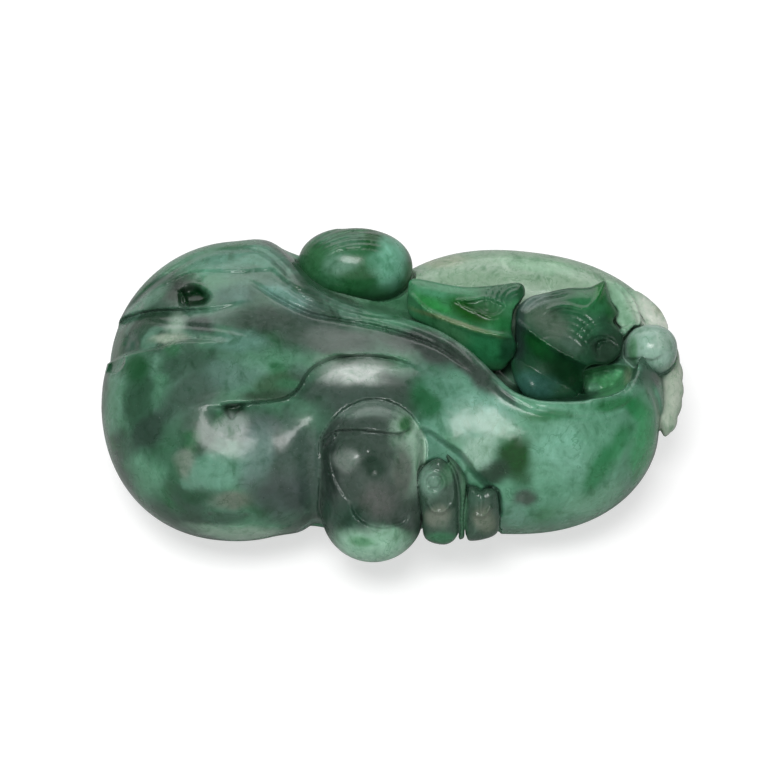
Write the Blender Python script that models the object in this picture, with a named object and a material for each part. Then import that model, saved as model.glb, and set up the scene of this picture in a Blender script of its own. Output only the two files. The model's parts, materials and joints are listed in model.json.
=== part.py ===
"""A jade palm stone with a carved band, a recess with a leaf and a bud, a boss and a few folds.

Lengths are in metres, +Z is up and +X runs along the stone, which lies on its underside. The stone is one
solid. Its form is worked out in seventieths of its length, because the pose and the carving keep their
proportions at any length. The sizes below can be set by themselves.

The carving is drawn on a sheet that leans back over the stone, as the stone is seen from its front. On the
sheet, u runs to the right, v runs up and w comes toward the viewer. A relief is a grid over the sheet of how
much is taken off the surface.
"""
import math

import bmesh
import bpy
import numpy as np
import openvdb
from mathutils import Matrix

# Overall size
LENGTH = 0.070
FLAT_CUT = 0.0009      # trimmed off the underside, which makes the flat spot it rests on

# Raised pieces
KNOB_LENGTH = 0.0140
KNOB_WIDTH = 0.0095
BOSS_WIDTH = 0.0123
RIM_KNOB_WIDTH = 0.0064

# Carving
RECESS_DEPTH = 0.0102
LEDGE_HEIGHT = 0.0013  # of the leaf edge over the bulge
PLEAT_DEPTH = 0.0010
SEAM_WIDTH = 0.0005    # of the cut around each raised piece
SEAM_DEPTH = 0.0006
LINE_DEPTH = 0.0005
UNDERCUT = 0.0016      # of the recess under the band's edge
LIP_RISE = 0.00055     # of the band's edge over its surface
EDGE = 0.0007          # over which the surface drops beside a carved edge

# Mesh
SPACING = 0.0004       # of the grid that the form is sampled on
TRIANGLES = 9400

UNIT = LENGTH / 70
LEAN = math.radians(50)
SIN, COS = math.sin(LEAN), math.cos(LEAN)
MIDDLE = 13.0          # height of the sheet's origin over the untrimmed underside
SIDE_SLOPE = 0.3       # of the outlined pieces' sides
NEAR = 1.5             # coarse steps from the surface within which the form is sampled finely
STEP = 0.2             # of the sheet's grid
U = np.arange(-38, 38, STEP)
V = np.arange(-27, 27, STEP)


def turned(x=0.0, y=0.0, z=0.0):
    """The rotation about X, then Y, then Z, in degrees, as a 3 by 3 array."""
    angles = [math.radians(a) for a in (x, y, z)]
    rotation = Matrix.Rotation(angles[2], 3, "Z") @ Matrix.Rotation(angles[1], 3, "Y")
    return np.array(rotation @ Matrix.Rotation(angles[0], 3, "X"))


SHEET = turned(x=40)


def on_sheet(u, v, w):
    """The point of the stone's own axes at a place on the sheet."""
    return np.array([u, v * SIN - w * COS, MIDDLE + v * COS + w * SIN])


# The plain body: centre, half sizes, turn about Z and fullness, which is 2 for an ellipsoid
LEFT_LOBE = ((-18.5, 0.9, 12.6), (16.6, 20.7, 12.6), -5, 2.15)
RIGHT_LOBE = ((14.6, -0.2, 12.2), (18.1, 17.8, 12.2), 0, 2.25)
BACK_PLATE = ((14.6, 5.8, 10.6), (19.4, 17.2, 8.4), -9, 2.25)
BACK_MIDDLE = ((-3.8, 8.0, 10.8), (12.6, 11.8, 10.5), 0, 2.2)
FRONT_BULGE = ((-3.5, -7.4, 13.0), (12.0, 12.3, 11.6), 0, 2.1)
UNDERSIDE = ((-1.5, 0.0, 8.8), (20.0, 12.0, 8.3), 0, 2.3)
HOLLOW = ((15.8, 4.6, 25.0), (20.0, 14.0, RECESS_DEPTH / UNIT), -9, 2.3)

# Knobs, and the bulk that bounds the outer leaf: place on the sheet, half sizes, turn on the sheet and fullness
OUTER_BULK = ((32.2, 0.6, -2.6), (4.6, 7.4, 5.4), 0, 2.3)
RIM_KNOB = ((31.1, 5.2, 0.4), (RIM_KNOB_WIDTH / UNIT / 2, 3.05, 4.4), 0, 2.2)
KNOB = ((-4.6, 15.4, -6.2), (KNOB_LENGTH / UNIT / 2, KNOB_WIDTH / UNIT / 2, 6.6), -3, 2.15)

# Rods with round ends: both ends on the sheet, and the radius
THORN = ((27.9, 7.5, 1), (29.1, 7.7, 0.6), 0.55)
BOSS = ((-2.4, -6.9, 12.8), (-2.4, -13.9, 10.6), BOSS_WIDTH / UNIT / 2)

# Outlines on the sheet
LEAF = (
    (1.8, 12.4), (2.4, 13.8), (6.5, 13.1), (8.8, 12.8), (11.2, 12.9), (13.1, 13.1), (15.2, 13.3),
    (15.9, 12.5), (15.7, 10.7), (14.7, 9.2), (14.2, 7.5), (14.8, 5.8), (14.4, 4.3), (13.1, 3.6),
    (11.2, 3.9), (9.5, 4.7), (7.5, 6.4), (4.6, 8.6), (2.4, 10.3),
)
INLAY = (
    (7.7, 11.1), (9.5, 11.2), (11.2, 11.5), (12.4, 11.1), (13.5, 10.4), (12.7, 9.5), (11.7, 9.2),
    (10.5, 9.7), (9.0, 10.3),
)
BUD = (
    (14.7, 8.3), (14.8, 9.8), (15.4, 10.7), (16.5, 11.6), (18.5, 12.1), (19.7, 12.4), (21.4, 12.7),
    (23.8, 12.8), (25.6, 13.6), (25.9, 12.5), (26.3, 11.1), (27.0, 9.7), (26.5, 8.6), (27.6, 7.0),
    (27.6, 5.4), (27.0, 4.3), (25.7, 3.5), (23.8, 3.4), (22.8, 2.5), (23.0, 1.3), (22.7, -0.2),
    (21.7, -1.1), (19.8, -1.4), (17.7, -1.1), (16.0, -0.4), (15.0, 0.8), (14.4, 2.1), (14.2, 3.7),
    (14.6, 5.8),
)
DISH = (
    (22.6, 2.5), (24.5, 3.1), (26.3, 3.4), (27.9, 3.3), (28.3, 2.5), (27.7, 1.0), (26.3, 0.0),
    (24.5, -0.4), (22.6, -0.1),
)
WEDGE_LEAF = (
    (25.6, 14.0), (27.0, 13.6), (28.6, 12.4), (29.6, 10.7), (30.0, 8.8), (29.4, 7.6), (27.4, 8.0),
    (26.5, 10.1), (25.9, 12.4),
)
END_LEAF = (
    (27.9, 12.7), (29.9, 12.4), (31.6, 11.2), (32.9, 9.7), (33.5, 7.6), (31.7, 7.1), (29.9, 8.0),
    (29.6, 10.5),
)
OUTER_LEAF = (
    (32.9, 7.6), (33.9, 6.4), (34.5, 4.6), (34.9, 2.8), (35.0, 1.0), (34.9, -0.8), (34.5, -2.3),
    (34.0, -3.9), (33.5, -5.1), (32.7, -5.7), (31.7, -4.5), (31.0, -0.8), (30.8, 2.8), (31.2, 5.8),
)
CURL = (
    (3.5, -8.7), (5.4, -7.6), (6.9, -9.0), (7.6, -11.5), (7.7, -14.4), (7.6, -16.8), (6.4, -17.9),
    (4.6, -17.7), (3.6, -16.8), (3.4, -14.4), (2.9, -11.9), (2.8, -10.0),
)
STRIP = (
    (6.2, -7.0), (7.6, -8.3), (8.7, -10.3), (8.9, -13.5), (8.8, -16.5), (8.4, -17.2), (7.7, -16.5),
    (8.0, -13.5), (7.7, -11.1), (6.9, -8.8),
)
SECOND_FOLD = (
    (8.9, -11.0), (9.8, -11.1), (10.4, -11.5), (11.2, -11.2), (12.2, -11.6), (12.5, -13.5),
    (12.5, -16.0), (11.7, -17.0), (9.5, -17.5), (8.7, -17.0), (8.6, -14.1),
)
NOTCH = (
    (-20.1, -1.3), (-17.5, -1.2), (-18.5, -2.3), (-19.1, -3.0),
)
PIT = (
    (-25.8, 12.2), (-24.7, 12.9), (-23.3, 12.8), (-21.8, 11.7), (-22.3, 10.6), (-23.8, 10.3),
    (-25.5, 10.4),
)
FACET = (
    (-34.4, 2.5), (-34.0, 3.5), (-32.9, 4.2), (-32.1, 4.2), (-32.2, 3.3), (-33.2, 2.4),
)

# Lines on the sheet
BAND_EDGE = (
    (-19.4, 18.5), (-15.8, 18.5), (-13.4, 16.6), (-11.2, 13.9), (-8.6, 11.7), (-4.9, 10.1),
    (0.2, 9.2), (3.4, 8.2), (5.8, 7.1), (8.3, 5.5), (10.3, 3.7), (12.2, 1.8), (14.1, 0.1),
    (16.9, -1.1), (20.1, -1.3), (23.0, -1.1), (25.6, -0.6), (27.9, 0.6), (29.0, 2.8),
)
ARCH = (
    (-22.4, -1.7), (-19.8, -1.6), (-16.5, -1.1), (-14.6, -1.0), (-12.5, -0.5), (-11.2, 0.6),
    (-10.1, 2.4), (-9.0, 3.4), (-6.8, 4.3), (-3.7, 4.5), (-0.8, 4.3), (1.6, 3.6), (4.0, 2.3),
)
LEFT_RIM = (
    (-33.2, 9.0), (-31.2, 11.0), (-29.2, 12.9), (-26.1, 15.2), (-22.8, 17.0), (-19.5, 17.4),
    (-16.0, 17.2), (-13.4, 15.1), (-11.6, 13.0),
)
CAP_EDGE = (
    (-29.8, 11.9), (-27.3, 13.1), (-24.7, 14.5), (-21.8, 14.7), (-18.6, 14.6), (-15.8, 14.8),
    (-13.1, 14.6),
)
RIGHT_RIM = (
    (30.4, 1.2), (31.6, -0.8), (32.1, -3.9), (32.0, -7.5), (30.4, -11.7),
)
UPPER_PLEAT = (
    (-35.8, 5.4), (-32.9, 8.7), (-31.2, 9.5), (-29.0, 9.9), (-25.5, 10.0), (-21.8, 10.1),
    (-19.5, 10.5), (-16.3, 11.3),
)
LOWER_PLEAT = (
    (-34.1, 3.7), (-31.7, 4.7), (-29.0, 5.3), (-27.0, 5.7), (-25.2, 6.3), (-21.8, 6.2), (-18.9, 6.2),
)
BRIM = (
    (-8.6, -6.9), (-8.0, -5.4), (-6.8, -4.5), (-4.1, -4.3), (-1.1, -4.6), (1.1, -4.6), (2.4, -3.7),
)
BOSS_LEFT = (
    (-6.8, -4.7), (-7.5, -6.6), (-7.1, -9.5), (-5.9, -11.9), (-4.9, -13.1),
)
LIP = (
    (-5.1, -12.4), (-4.6, -14.1), (-3.3, -15.3), (-1.3, -15.8), (1.1, -15.4), (2.1, -14.1),
)
BOSS_SIDE = (
    (-7.6, -1.8), (-8.7, -4.2), (-9.2, -7.5), (-9.2, -11.1), (-8.9, -14.7), (-8.6, -17.7),
)
BODY_EDGE = (
    (3.4, -3.9), (6.0, -5.8), (8.2, -7.4), (9.7, -9.5), (11.0, -10.7), (12.4, -11.9), (12.7, -14.4),
)
LEAF_RIDGE = (
    (1.3, 12.2), (2.4, 11.5), (4.1, 9.9), (6.5, 8.7), (9.5, 7.6), (12.2, 7.0), (15.3, 6.6),
)
BUD_RIDGE = (
    (13.9, 9.3), (15.3, 8.2), (17.1, 6.9), (18.8, 5.7), (20.5, 4.7), (22.2, 3.9), (24.0, 2.9),
)
PETAL_EDGE = (
    (17.9, 9.4), (19.3, 10.3), (20.9, 10.5), (22.8, 10.1), (24.0, 10.6), (25.0, 12.1), (25.5, 13.5),
)
BAND_LINE = (
    (-18.1, 14.0), (-16.0, 12.7), (-13.6, 11.2), (-11.3, 10.0), (-9.4, 9.3), (-6.6, 8.8),
    (-3.1, 8.2), (0.8, 7.2), (4.6, 5.8), (6.8, 4.5), (9.0, 2.8), (10.5, 1.1),
)
SECOND_LINE = (
    (-15.3, 14.0), (-12.9, 12.7), (-10.1, 11.0), (-7.8, 10.0), (-5.4, 9.2), (-1.9, 8.7), (2.1, 7.5),
    (4.7, 6.4), (7.1, 4.9), (9.8, 2.5), (11.7, 0.1),
)
LOW_LINE = (
    (4.5, 7.5), (7.0, 6.2), (9.0, 4.3), (10.7, 2.3), (13.1, -0.1), (15.7, -1.6), (18.1, -2.3),
    (21.8, -2.8), (25.5, -2.3), (28.0, -1.2), (29.8, 0.6),
)


def smooth_route(points, steps=4):
    """The points joined by a Catmull-Rom curve, with this many steps between two of them."""
    q = np.array(points, float)
    before = np.vstack([q[:1], q[:-2]])
    after = np.vstack([q[2:], q[-1:]])
    start, end = q[:-1], q[1:]
    t = np.linspace(0, 1, steps, endpoint=False)[:, None, None]
    curve = 2 * start + (end - before) * t + (2 * before - 5 * start + 4 * end - after) * t**2
    curve = (curve + (3 * start - before - 3 * end + after) * t**3) / 2
    return np.vstack([curve.transpose(1, 0, 2).reshape(-1, 2), q[-1:]])


def from_line(line, u, v):
    """Distance from a line, negative on its right, and how far along the line that is, 0 to 1."""
    route = smooth_route(line)
    start, way = route[:-1], np.diff(route, axis=0)
    long = np.hypot(way[:, 0], way[:, 1])
    before = np.concatenate([[0], np.cumsum(long)[:-1]])
    x, y = u[:, None] - start[:, 0], v[:, None] - start[:, 1]
    t = np.clip((x * way[:, 0] + y * way[:, 1]) / long**2, 0, 1)
    dx, dy = x - t * way[:, 0], y - t * way[:, 1]
    distance = np.hypot(dx, dy)
    near = distance.argmin(1)
    rows = np.arange(len(near))
    least = distance[rows, near]
    weight = np.exp((least[:, None] - distance) / 0.6)
    share = (weight * (before + t * long)).sum(1) / weight.sum(1) / long.sum()
    side = np.sign(way[near, 0] * dy[rows, near] - way[near, 1] * dx[rows, near])
    return least * side, share


def window(route, reach):
    """The part of the sheet's grid within this reach of a route, and its u and v."""
    low = np.maximum(((route.min(0) - reach - (U[0], V[0])) / STEP).astype(int), 0)
    high = ((route.max(0) + reach - (U[0], V[0])) / STEP).astype(int) + 1
    area = np.s_[low[0] : high[0], low[1] : high[1]]
    return area, *np.meshgrid(U[area[0]], V[area[1]], indexing="ij")


def draw(relief, line, profile, reach, ends=(0.1, 0.1)):
    """Adds a profile, a function of the distance from the line, that fades over a share of it at its ends."""
    area, u, v = window(np.array(line, float), reach)
    away, share = from_line(line, u.ravel(), v.ravel())
    fade = np.clip(share / max(ends[0], 1e-6), 0, 1) * np.clip((1 - share) / max(ends[1], 1e-6), 0, 1)
    amount = profile(away) * fade * fade * (3 - 2 * fade)
    relief[area] += amount.reshape(u.shape)


def outlined(line, reach=3.0, scallops=0, rise=0.0):
    """The distance from a closed outline over the sheet's grid, negative inside it, with a row of scallops."""
    closed = line + line[:1]
    route = smooth_route(closed)
    area, u, v = window(route, reach)
    away, share = from_line(closed, u.ravel(), v.ravel())
    start, end = route[:-1], route[1:]
    spans = (start[:, 1] > v.ravel()[:, None]) != (end[:, 1] > v.ravel()[:, None])
    slant = (end[:, 0] - start[:, 0]) / np.where(end[:, 1] == start[:, 1], 1, end[:, 1] - start[:, 1])
    across = start[:, 0] + (v.ravel()[:, None] - start[:, 1]) * slant
    inside = (spans & (u.ravel()[:, None] < across)).sum(1) % 2 == 1
    result = np.full((len(U), len(V)), reach)
    result[area] = (np.where(inside, -1, 1) * np.abs(away)).reshape(u.shape)
    result[area] -= rise * np.abs(np.sin(math.pi * scallops * share)).reshape(u.shape)
    return np.minimum(result, reach)


def dome(outline, height, radius):
    """Rises from an outline to this height over this radius."""
    t = np.clip(-outline / radius, 0, 1)
    return height * t * (2 - t)


def plane(u, v, w, along_u=0.0, along_v=0.0):
    """A plane over the sheet's grid through a place, with a rise along u and v."""
    return w + (U[:, None] - u) * along_u + (V[None, :] - v) * along_v


def ledge(height, fall, edge=EDGE / UNIT, side=-1, shift=0.0):
    """Lowered most at the line, on its right or its left, and less with distance."""

    def profile(away):
        beyond = (away - shift) * side
        return height * np.exp(-np.clip(beyond, 0, None) / fall) * ease(beyond, edge)

    return profile


def groove(depth, width, shift=0.0):
    """A round channel, or a ridge where the depth is negative."""
    return lambda away: depth * np.exp(-(((away - shift) / width) ** 2))


def read(relief, u, v):
    """The relief at places on the sheet, from the four corners of the grid around each."""
    x = np.clip((u - U[0]) / STEP, 0, len(U) - 1.001)
    y = np.clip((v - V[0]) / STEP, 0, len(V) - 1.001)
    i, j = x.astype(int), y.astype(int)
    x, y = x - i, y - j
    low = relief[i, j] * (1 - x) + relief[i + 1, j] * x
    high = relief[i, j + 1] * (1 - x) + relief[i + 1, j + 1] * x
    return low * (1 - y) + high * y


def ease(x, width):
    """0 below zero and 1 above it, with a soft change over this width."""
    t = np.clip(x / width + 0.5, 0, 1)
    return t * t * (3 - 2 * t)


def join(a, b, soft):
    """The smaller of two distances, less a little where they are nearly equal, which rounds the corner."""
    h = np.clip(0.5 + 0.5 * (b - a) / soft, 0, 1)
    return b + (a - b) * h - soft * h * (1 - h)


def cut(a, b, soft):
    """The larger of one distance and the other turned round, rounded in the same way."""
    return -join(-a, b, soft)


def rounded(p, centre, half, axes, fullness):
    """A full ellipsoid: the sum of the coordinates' shares of its half sizes, each to a power, against 1,
    over the slope of that sum, which makes it about a distance."""
    half = np.array(half, float)
    q = np.abs((p - np.array(centre)) @ axes / half) + 1e-9
    size = (q**fullness).sum(1) ** (1 / fullness)
    slope = q ** (fullness - 1) / half * (size ** (1 - fullness))[:, None]
    return (size - 1) / np.sqrt((slope**2).sum(1))


def lobe(p, shape):
    centre, half, turn, fullness = shape
    return rounded(p, centre, half, turned(z=turn), fullness)


def bead(p, shape):
    """A full ellipsoid placed on the sheet. Far from it, the distance from the ball around it is enough."""
    place, half, turn, fullness = shape
    centre = on_sheet(*place)
    far = np.linalg.norm(p - centre, axis=1) - max(half)
    near = far < 3
    far[near] = rounded(p[near], centre, half, SHEET @ turned(z=turn), fullness)
    return far


def rod(p, shape):
    """The distance from a stretch of line, less a radius."""
    start, end, radius = on_sheet(*shape[0]), on_sheet(*shape[1]), shape[2]
    way = end - start
    t = np.clip((p - start) @ way / (way @ way), 0, 1)
    return np.linalg.norm(p - start - t[:, None] * way, axis=1) - radius


def seated(d, piece, width=0.5, depth=0.7, soft=0.2):
    """Joins a raised piece, with a narrow cut in the surface around it."""
    seam = join(width - piece, d + depth, 0.3)
    return join(-join(-d, -seam, soft), piece, soft)


def spot(relief, u, v, height, radius):
    """Adds a dent, or a round bump where the height is negative."""
    relief += height * np.exp(-((U[:, None] - u) ** 2 + (V[None, :] - v) ** 2) / radius**2)


def below(line, slope, most):
    """How far the surface has fallen on the right of a line, at this slope and by this much at most."""
    area, u, v = window(np.array(line, float), 12)
    fall = np.zeros((len(U), len(V)))
    away = from_line(line, u.ravel(), v.ravel())[0].reshape(u.shape)
    fall[area] = np.clip(-away, 0, most / slope) * slope
    return fall


def front_relief():
    """The leaf's edge over the bulge, the step down to the folds and the hollow beside the boss."""
    relief = np.zeros((len(U), len(V)))
    draw(relief, ARCH, ledge(LEDGE_HEIGHT / UNIT, 4.0), 14, (0.12, 0.2))
    relief += 0.7 * ease(-outlined(NOTCH), 0.6)
    draw(relief, BODY_EDGE, ledge(1.5, 3.0), 10, (0.1, 0.05))
    draw(relief, BOSS_SIDE, groove(1.3, 1.8), 6, (0.3, 0.1))
    return relief


def upper_relief():
    """The pleats, the band's lines, the rims and the small pit at the left end."""
    relief = np.zeros((len(U), len(V)))
    draw(relief, UPPER_PLEAT, ledge(PLEAT_DEPTH / UNIT, 1.8), 7, (0, 0.5))
    draw(relief, LOWER_PLEAT, ledge(PLEAT_DEPTH / UNIT, 1.8, side=1), 7, (0, 0.4))
    draw(relief, CAP_EDGE, ledge(0.3, 2.0), 6, (0.2, 0.2))
    for share, line in ((1.0, BAND_LINE), (0.6, SECOND_LINE), (0.5, LOW_LINE), (0.6, LEFT_RIM), (0.7, RIGHT_RIM)):
        draw(relief, line, groove(share * LINE_DEPTH / UNIT, 0.45), 2)
    relief += 1.1 * ease(-outlined(PIT) - 0.3, 1.2)
    return relief + 0.35 * ease(-outlined(FACET), 0.4)


def boss_relief():
    """The brim at the boss's top, the lip near its bottom, and a soft bump and a dent between them."""
    relief = np.zeros((len(U), len(V)))
    draw(relief, BRIM, ledge(0.9, 2.5), 8, (0.15, 0.15))
    draw(relief, BOSS_LEFT, ledge(0.4, 1.6, side=1), 6, (0.1, 0.2))
    draw(relief, LIP, ledge(0.7, 2.2, side=1), 8, (0.2, 0.2))
    spot(relief, -5.4, -8.2, -0.5, 1.5)
    spot(relief, -2.3, -8.6, 0.5, 1.1)
    return relief


def recess_relief(dish):
    """The cut under the band's edge, the band's raised lip and a small dish with a rim."""
    relief = 1.3 * ease(-dish - 0.3, 1.2) - 0.35 * np.exp(-((dish / 0.35) ** 2))
    draw(relief, BAND_EDGE, ledge(UNDERCUT / UNIT, 2.5, 1.0, side=1, shift=0.7), 9, (0.1, 0.2))
    draw(relief, BAND_EDGE, groove(-LIP_RISE / UNIT, 1.6, shift=-1.0), 6, (0.06, 0.15))
    return relief


def leaf_top(leaf, inlay):
    """Two facets with a ridge between them, and an almond-shaped inlay in the upper one."""
    top = plane(9.3, 8.8, 3.3, -0.02, -0.5) + dome(leaf, 0.9, 1.8) - below(LEAF_RIDGE, 1.1, 5.0)
    draw(top, LEAF_RIDGE, groove(0.3, 0.45), 2)
    return top - 0.35 * ease(-inlay - 0.1, 0.6)


def bud_top(bud):
    """A facet above a diagonal ridge, a fall below it, a round base and the raised edge of a petal."""
    top = plane(18.3, 7.0, 3.4, -0.2, -0.45) + dome(bud, 1.3, 2.0) - below(BUD_RIDGE, 1.1, 3.8)
    draw(top, BUD_RIDGE, groove(0.3, 0.45), 2)
    draw(top, PETAL_EDGE, groove(0.35, 0.45), 2, (0.15, 0.1))
    spot(top, 25.5, 5.8, -1.2, 1.6)
    spot(top, 16.8, 1.3, 1.1, 2.0)
    return top


on_front, on_upper, on_boss = front_relief(), upper_relief(), boss_relief()
leaf, bud, inlay, dish = outlined(LEAF), outlined(BUD), outlined(INLAY), outlined(DISH)
on_recess = recess_relief(dish)
band_side = from_line(BAND_EDGE, *[part.ravel() for part in np.meshgrid(U, V, indexing="ij")])[0]
band_side = band_side.reshape(len(U), len(V))
wedge_leaf, end_leaf = outlined(WEDGE_LEAF), outlined(END_LEAF)
outer_leaf = outlined(OUTER_LEAF, scallops=13, rise=0.18)
curl, strip, second_fold = outlined(CURL), outlined(STRIP), outlined(SECOND_FOLD)

# Outlined pieces: the outline, the top and the lowest w
OUTER = (outer_leaf, plane(33.2, 1.0, 0.3, -0.6, -0.3) + dome(outer_leaf, 0.6, 1.5), -9)
RECESSED = (
    (end_leaf, plane(31.2, 9.4, -4.9, -0.45, -0.75) + dome(end_leaf, 0.5, 1.2), -10),
    (wedge_leaf, plane(27.6, 10.6, -1.8, -0.1, -0.75) + dome(wedge_leaf, 0.5, 1.2), -8),
    (leaf, leaf_top(leaf, inlay), -9),
    (bud, bud_top(bud), -9),
)
FOLDS = (
    (strip, plane(8.1, -10.5, 14, 0, 0.4) + dome(strip, 0.5, 0.5), 8),
    (curl, plane(5.3, -10.5, 14.3, 0, 0.4) + dome(curl, 0.9, 1.5), 7),
    (second_fold, plane(10.7, -13.5, 12.9, -0.05, 0.35) + dome(second_fold, 0.9, 1.4), 7),
)


def body(p):
    """The plain body, without any carving."""
    d = join(lobe(p, LEFT_LOBE), lobe(p, RIGHT_LOBE), 5.0)
    d = join(d, lobe(p, BACK_MIDDLE), 3.0)
    d = join(d, lobe(p, BACK_PLATE), 1.2)
    d = join(d, lobe(p, FRONT_BULGE), 4.0)
    return join(d, lobe(p, UNDERSIDE), 1.5)


def pad(u, v, w, shape, soft=0.4):
    """A raised piece with an outline on the sheet, under its top and over a lowest w. Its sides lean inwards."""
    outline, top, lowest = shape
    under = read(top, u, v) - w
    side = read(outline, u, v) + SIDE_SLOPE * np.clip(under - 1, 0, None)
    return cut(cut(side, under, soft), w - lowest, 1.0)


def stone(p):
    """About the distance from the carved stone, negative inside it, at points in seventieths of its length."""
    p = p + np.array([0, 0, FLAT_CUT / UNIT])
    height = p[:, 2] - MIDDLE
    u, v, w = p[:, 0], p[:, 1] * SIN + height * COS, height * SIN - p[:, 1] * COS
    hole = -join(-lobe(p, HOLLOW), read(band_side, u, v) + 0.1, 0.8)
    d = cut(body(p), hole, 0.9) + read(on_recess, u, v) * ease(w + 9, 4)
    d = join(d, cut(pad(u, v, w, OUTER), -bead(p, OUTER_BULK), 1.0), 0.5)
    for shape in RECESSED:
        d = seated(d, pad(u, v, w, shape), SEAM_WIDTH / UNIT, SEAM_DEPTH / UNIT)
    d = join(d, rod(p, THORN), 0.4)
    d = seated(d, bead(p, RIM_KNOB), SEAM_WIDTH / UNIT, SEAM_DEPTH / UNIT)
    d = seated(d, bead(p, KNOB), SEAM_WIDTH / UNIT, 1.0)
    d = d + read(on_front, u, v) * ease(w - 2, 3)
    d = seated(d, rod(p, BOSS) + read(on_boss, u, v), SEAM_WIDTH / UNIT, SEAM_DEPTH / UNIT)
    for shape in FOLDS:
        d = seated(d, pad(u, v, w, shape), SEAM_WIDTH / UNIT, SEAM_DEPTH / UNIT)
    d = d + read(on_upper, u, v) * ease(w + 3, 6)
    return cut(d, p[:, 2] - FLAT_CUT / UNIT, 0.05)


def in_slices(p, size=60000):
    return np.concatenate([stone(p[i : i + size]) for i in range(0, len(p), size)])


def sampled(low, shape, spacing, coarse=4):
    """The form's values on a grid. They are worked out near the surface, and are a coarser grid's elsewhere."""
    rough = [n // coarse + 1 for n in shape]
    places = np.stack(np.meshgrid(*[np.arange(n) for n in rough], indexing="ij"), -1).reshape(-1, 3)
    middles = low + (places + 0.5 - 0.5 / coarse) * coarse * spacing
    values = in_slices(middles).reshape(rough)
    for axis in range(3):
        values = values.repeat(coarse, axis)
    values = values[: shape[0], : shape[1], : shape[2]].copy()
    near = np.argwhere(np.abs(values) < NEAR * coarse * spacing)
    values[tuple(near.T)] = in_slices(low + near * spacing)
    return values


def skin():
    """The surface of the form as a mesh, drawn through the places where the sampled value is zero."""
    spacing = SPACING / UNIT
    low = np.array([-37.0, -25.0, -1.5])
    high = np.array([37.5, 25.5, 27.0])
    values = sampled(low, np.ceil((high - low) / spacing).astype(int), spacing)
    grid = openvdb.FloatGrid(3.0)
    grid.copyFromArray(values.astype(np.float32))
    points, quads = grid.convertToQuads(0.0)
    mesh = bpy.data.meshes.new("jade_palm_stone")
    mesh.from_pydata((low + points * spacing) * UNIT, [], quads)
    keep_outer_skin(mesh)
    return mesh


def keep_outer_skin(mesh):
    """Deletes what isn't joined to the highest point, which is the skin of any bubble left inside the form."""
    bm = bmesh.new()
    bm.from_mesh(mesh)
    reached = {max(bm.verts, key=lambda vertex: vertex.co.z)}
    edge = list(reached)
    while edge:
        vertex = edge.pop()
        found = [link.other_vert(vertex) for link in vertex.link_edges]
        fresh = [other for other in found if other not in reached]
        reached.update(fresh)
        edge.extend(fresh)
    inner = [vertex for vertex in bm.verts if vertex not in reached]
    bmesh.ops.delete(bm, geom=inner, context="VERTS")
    bm.to_mesh(mesh)
    bm.free()
    print("vertices on the skin and inside it:", len(reached), len(inner))


def modified(obj, kind, **settings):
    """Applies one modifier to the object's mesh."""
    modifier = obj.modifiers.new(kind.lower(), kind)
    for name, value in settings.items():
        setattr(modifier, name, value)
    graph = bpy.context.evaluated_depsgraph_get()
    mesh = bpy.data.meshes.new_from_object(obj.evaluated_get(graph))
    obj.modifiers.remove(modifier)
    old, obj.data = obj.data, mesh
    bpy.data.meshes.remove(old)


def jade():
    material = bpy.data.materials.new("jade")
    material.use_nodes = True
    shader = material.node_tree.nodes["Principled BSDF"]
    shader.inputs["Base Color"].default_value = (0.11, 0.23, 0.15, 1)
    shader.inputs["Roughness"].default_value = 0.15
    shader.inputs["Metallic"].default_value = 0
    return material


def build():
    for obj in list(bpy.data.objects):
        bpy.data.objects.remove(obj)
    collection = bpy.data.collections.new("jade palm stone")
    bpy.context.scene.collection.children.link(collection)
    obj = bpy.data.objects.new("jade_palm_stone", skin())
    collection.objects.link(obj)
    triangles = sum(len(face.vertices) - 2 for face in obj.data.polygons)
    modified(obj, "DECIMATE", ratio=min(1, TRIANGLES / triangles))
    obj.data.shade_smooth()
    obj.data.materials.append(jade())
    print("triangles before and after:", triangles, len(obj.data.polygons))
    corners = np.array(obj.bound_box) * 1000
    print("box in millimetres:", corners.min(0).round(2), corners.max(0).round(2))


build()
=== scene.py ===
# %% [markdown]
# # Jade palm stone
#
# A polished green stone, carved all round as one piece. It lies on its underside, and it is seen from its
# front and from well above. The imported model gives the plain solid. Here its skin is made again with crisp
# carving, and it gets the mottled greens of jade.

# %% The frame
import json
import math

import bpy
import numpy as np
import openvdb
from mathutils import Matrix, Vector

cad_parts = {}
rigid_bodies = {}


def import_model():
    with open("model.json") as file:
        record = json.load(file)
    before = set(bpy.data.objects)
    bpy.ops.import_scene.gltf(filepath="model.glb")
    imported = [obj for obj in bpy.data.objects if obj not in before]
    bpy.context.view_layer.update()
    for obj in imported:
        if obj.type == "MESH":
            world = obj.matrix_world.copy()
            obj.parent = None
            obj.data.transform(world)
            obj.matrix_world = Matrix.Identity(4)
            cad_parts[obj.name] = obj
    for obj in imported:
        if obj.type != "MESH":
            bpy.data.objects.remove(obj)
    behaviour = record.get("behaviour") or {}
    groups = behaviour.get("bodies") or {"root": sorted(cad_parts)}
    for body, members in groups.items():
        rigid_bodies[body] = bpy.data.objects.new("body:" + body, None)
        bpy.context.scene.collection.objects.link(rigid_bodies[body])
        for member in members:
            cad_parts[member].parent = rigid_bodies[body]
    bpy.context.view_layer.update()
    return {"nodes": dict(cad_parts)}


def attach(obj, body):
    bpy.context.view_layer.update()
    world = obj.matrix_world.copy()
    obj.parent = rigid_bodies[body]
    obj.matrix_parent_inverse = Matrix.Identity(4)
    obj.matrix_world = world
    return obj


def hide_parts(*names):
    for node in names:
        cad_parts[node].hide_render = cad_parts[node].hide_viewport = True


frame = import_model()
print("nodes:", sorted(frame["nodes"]))

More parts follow.
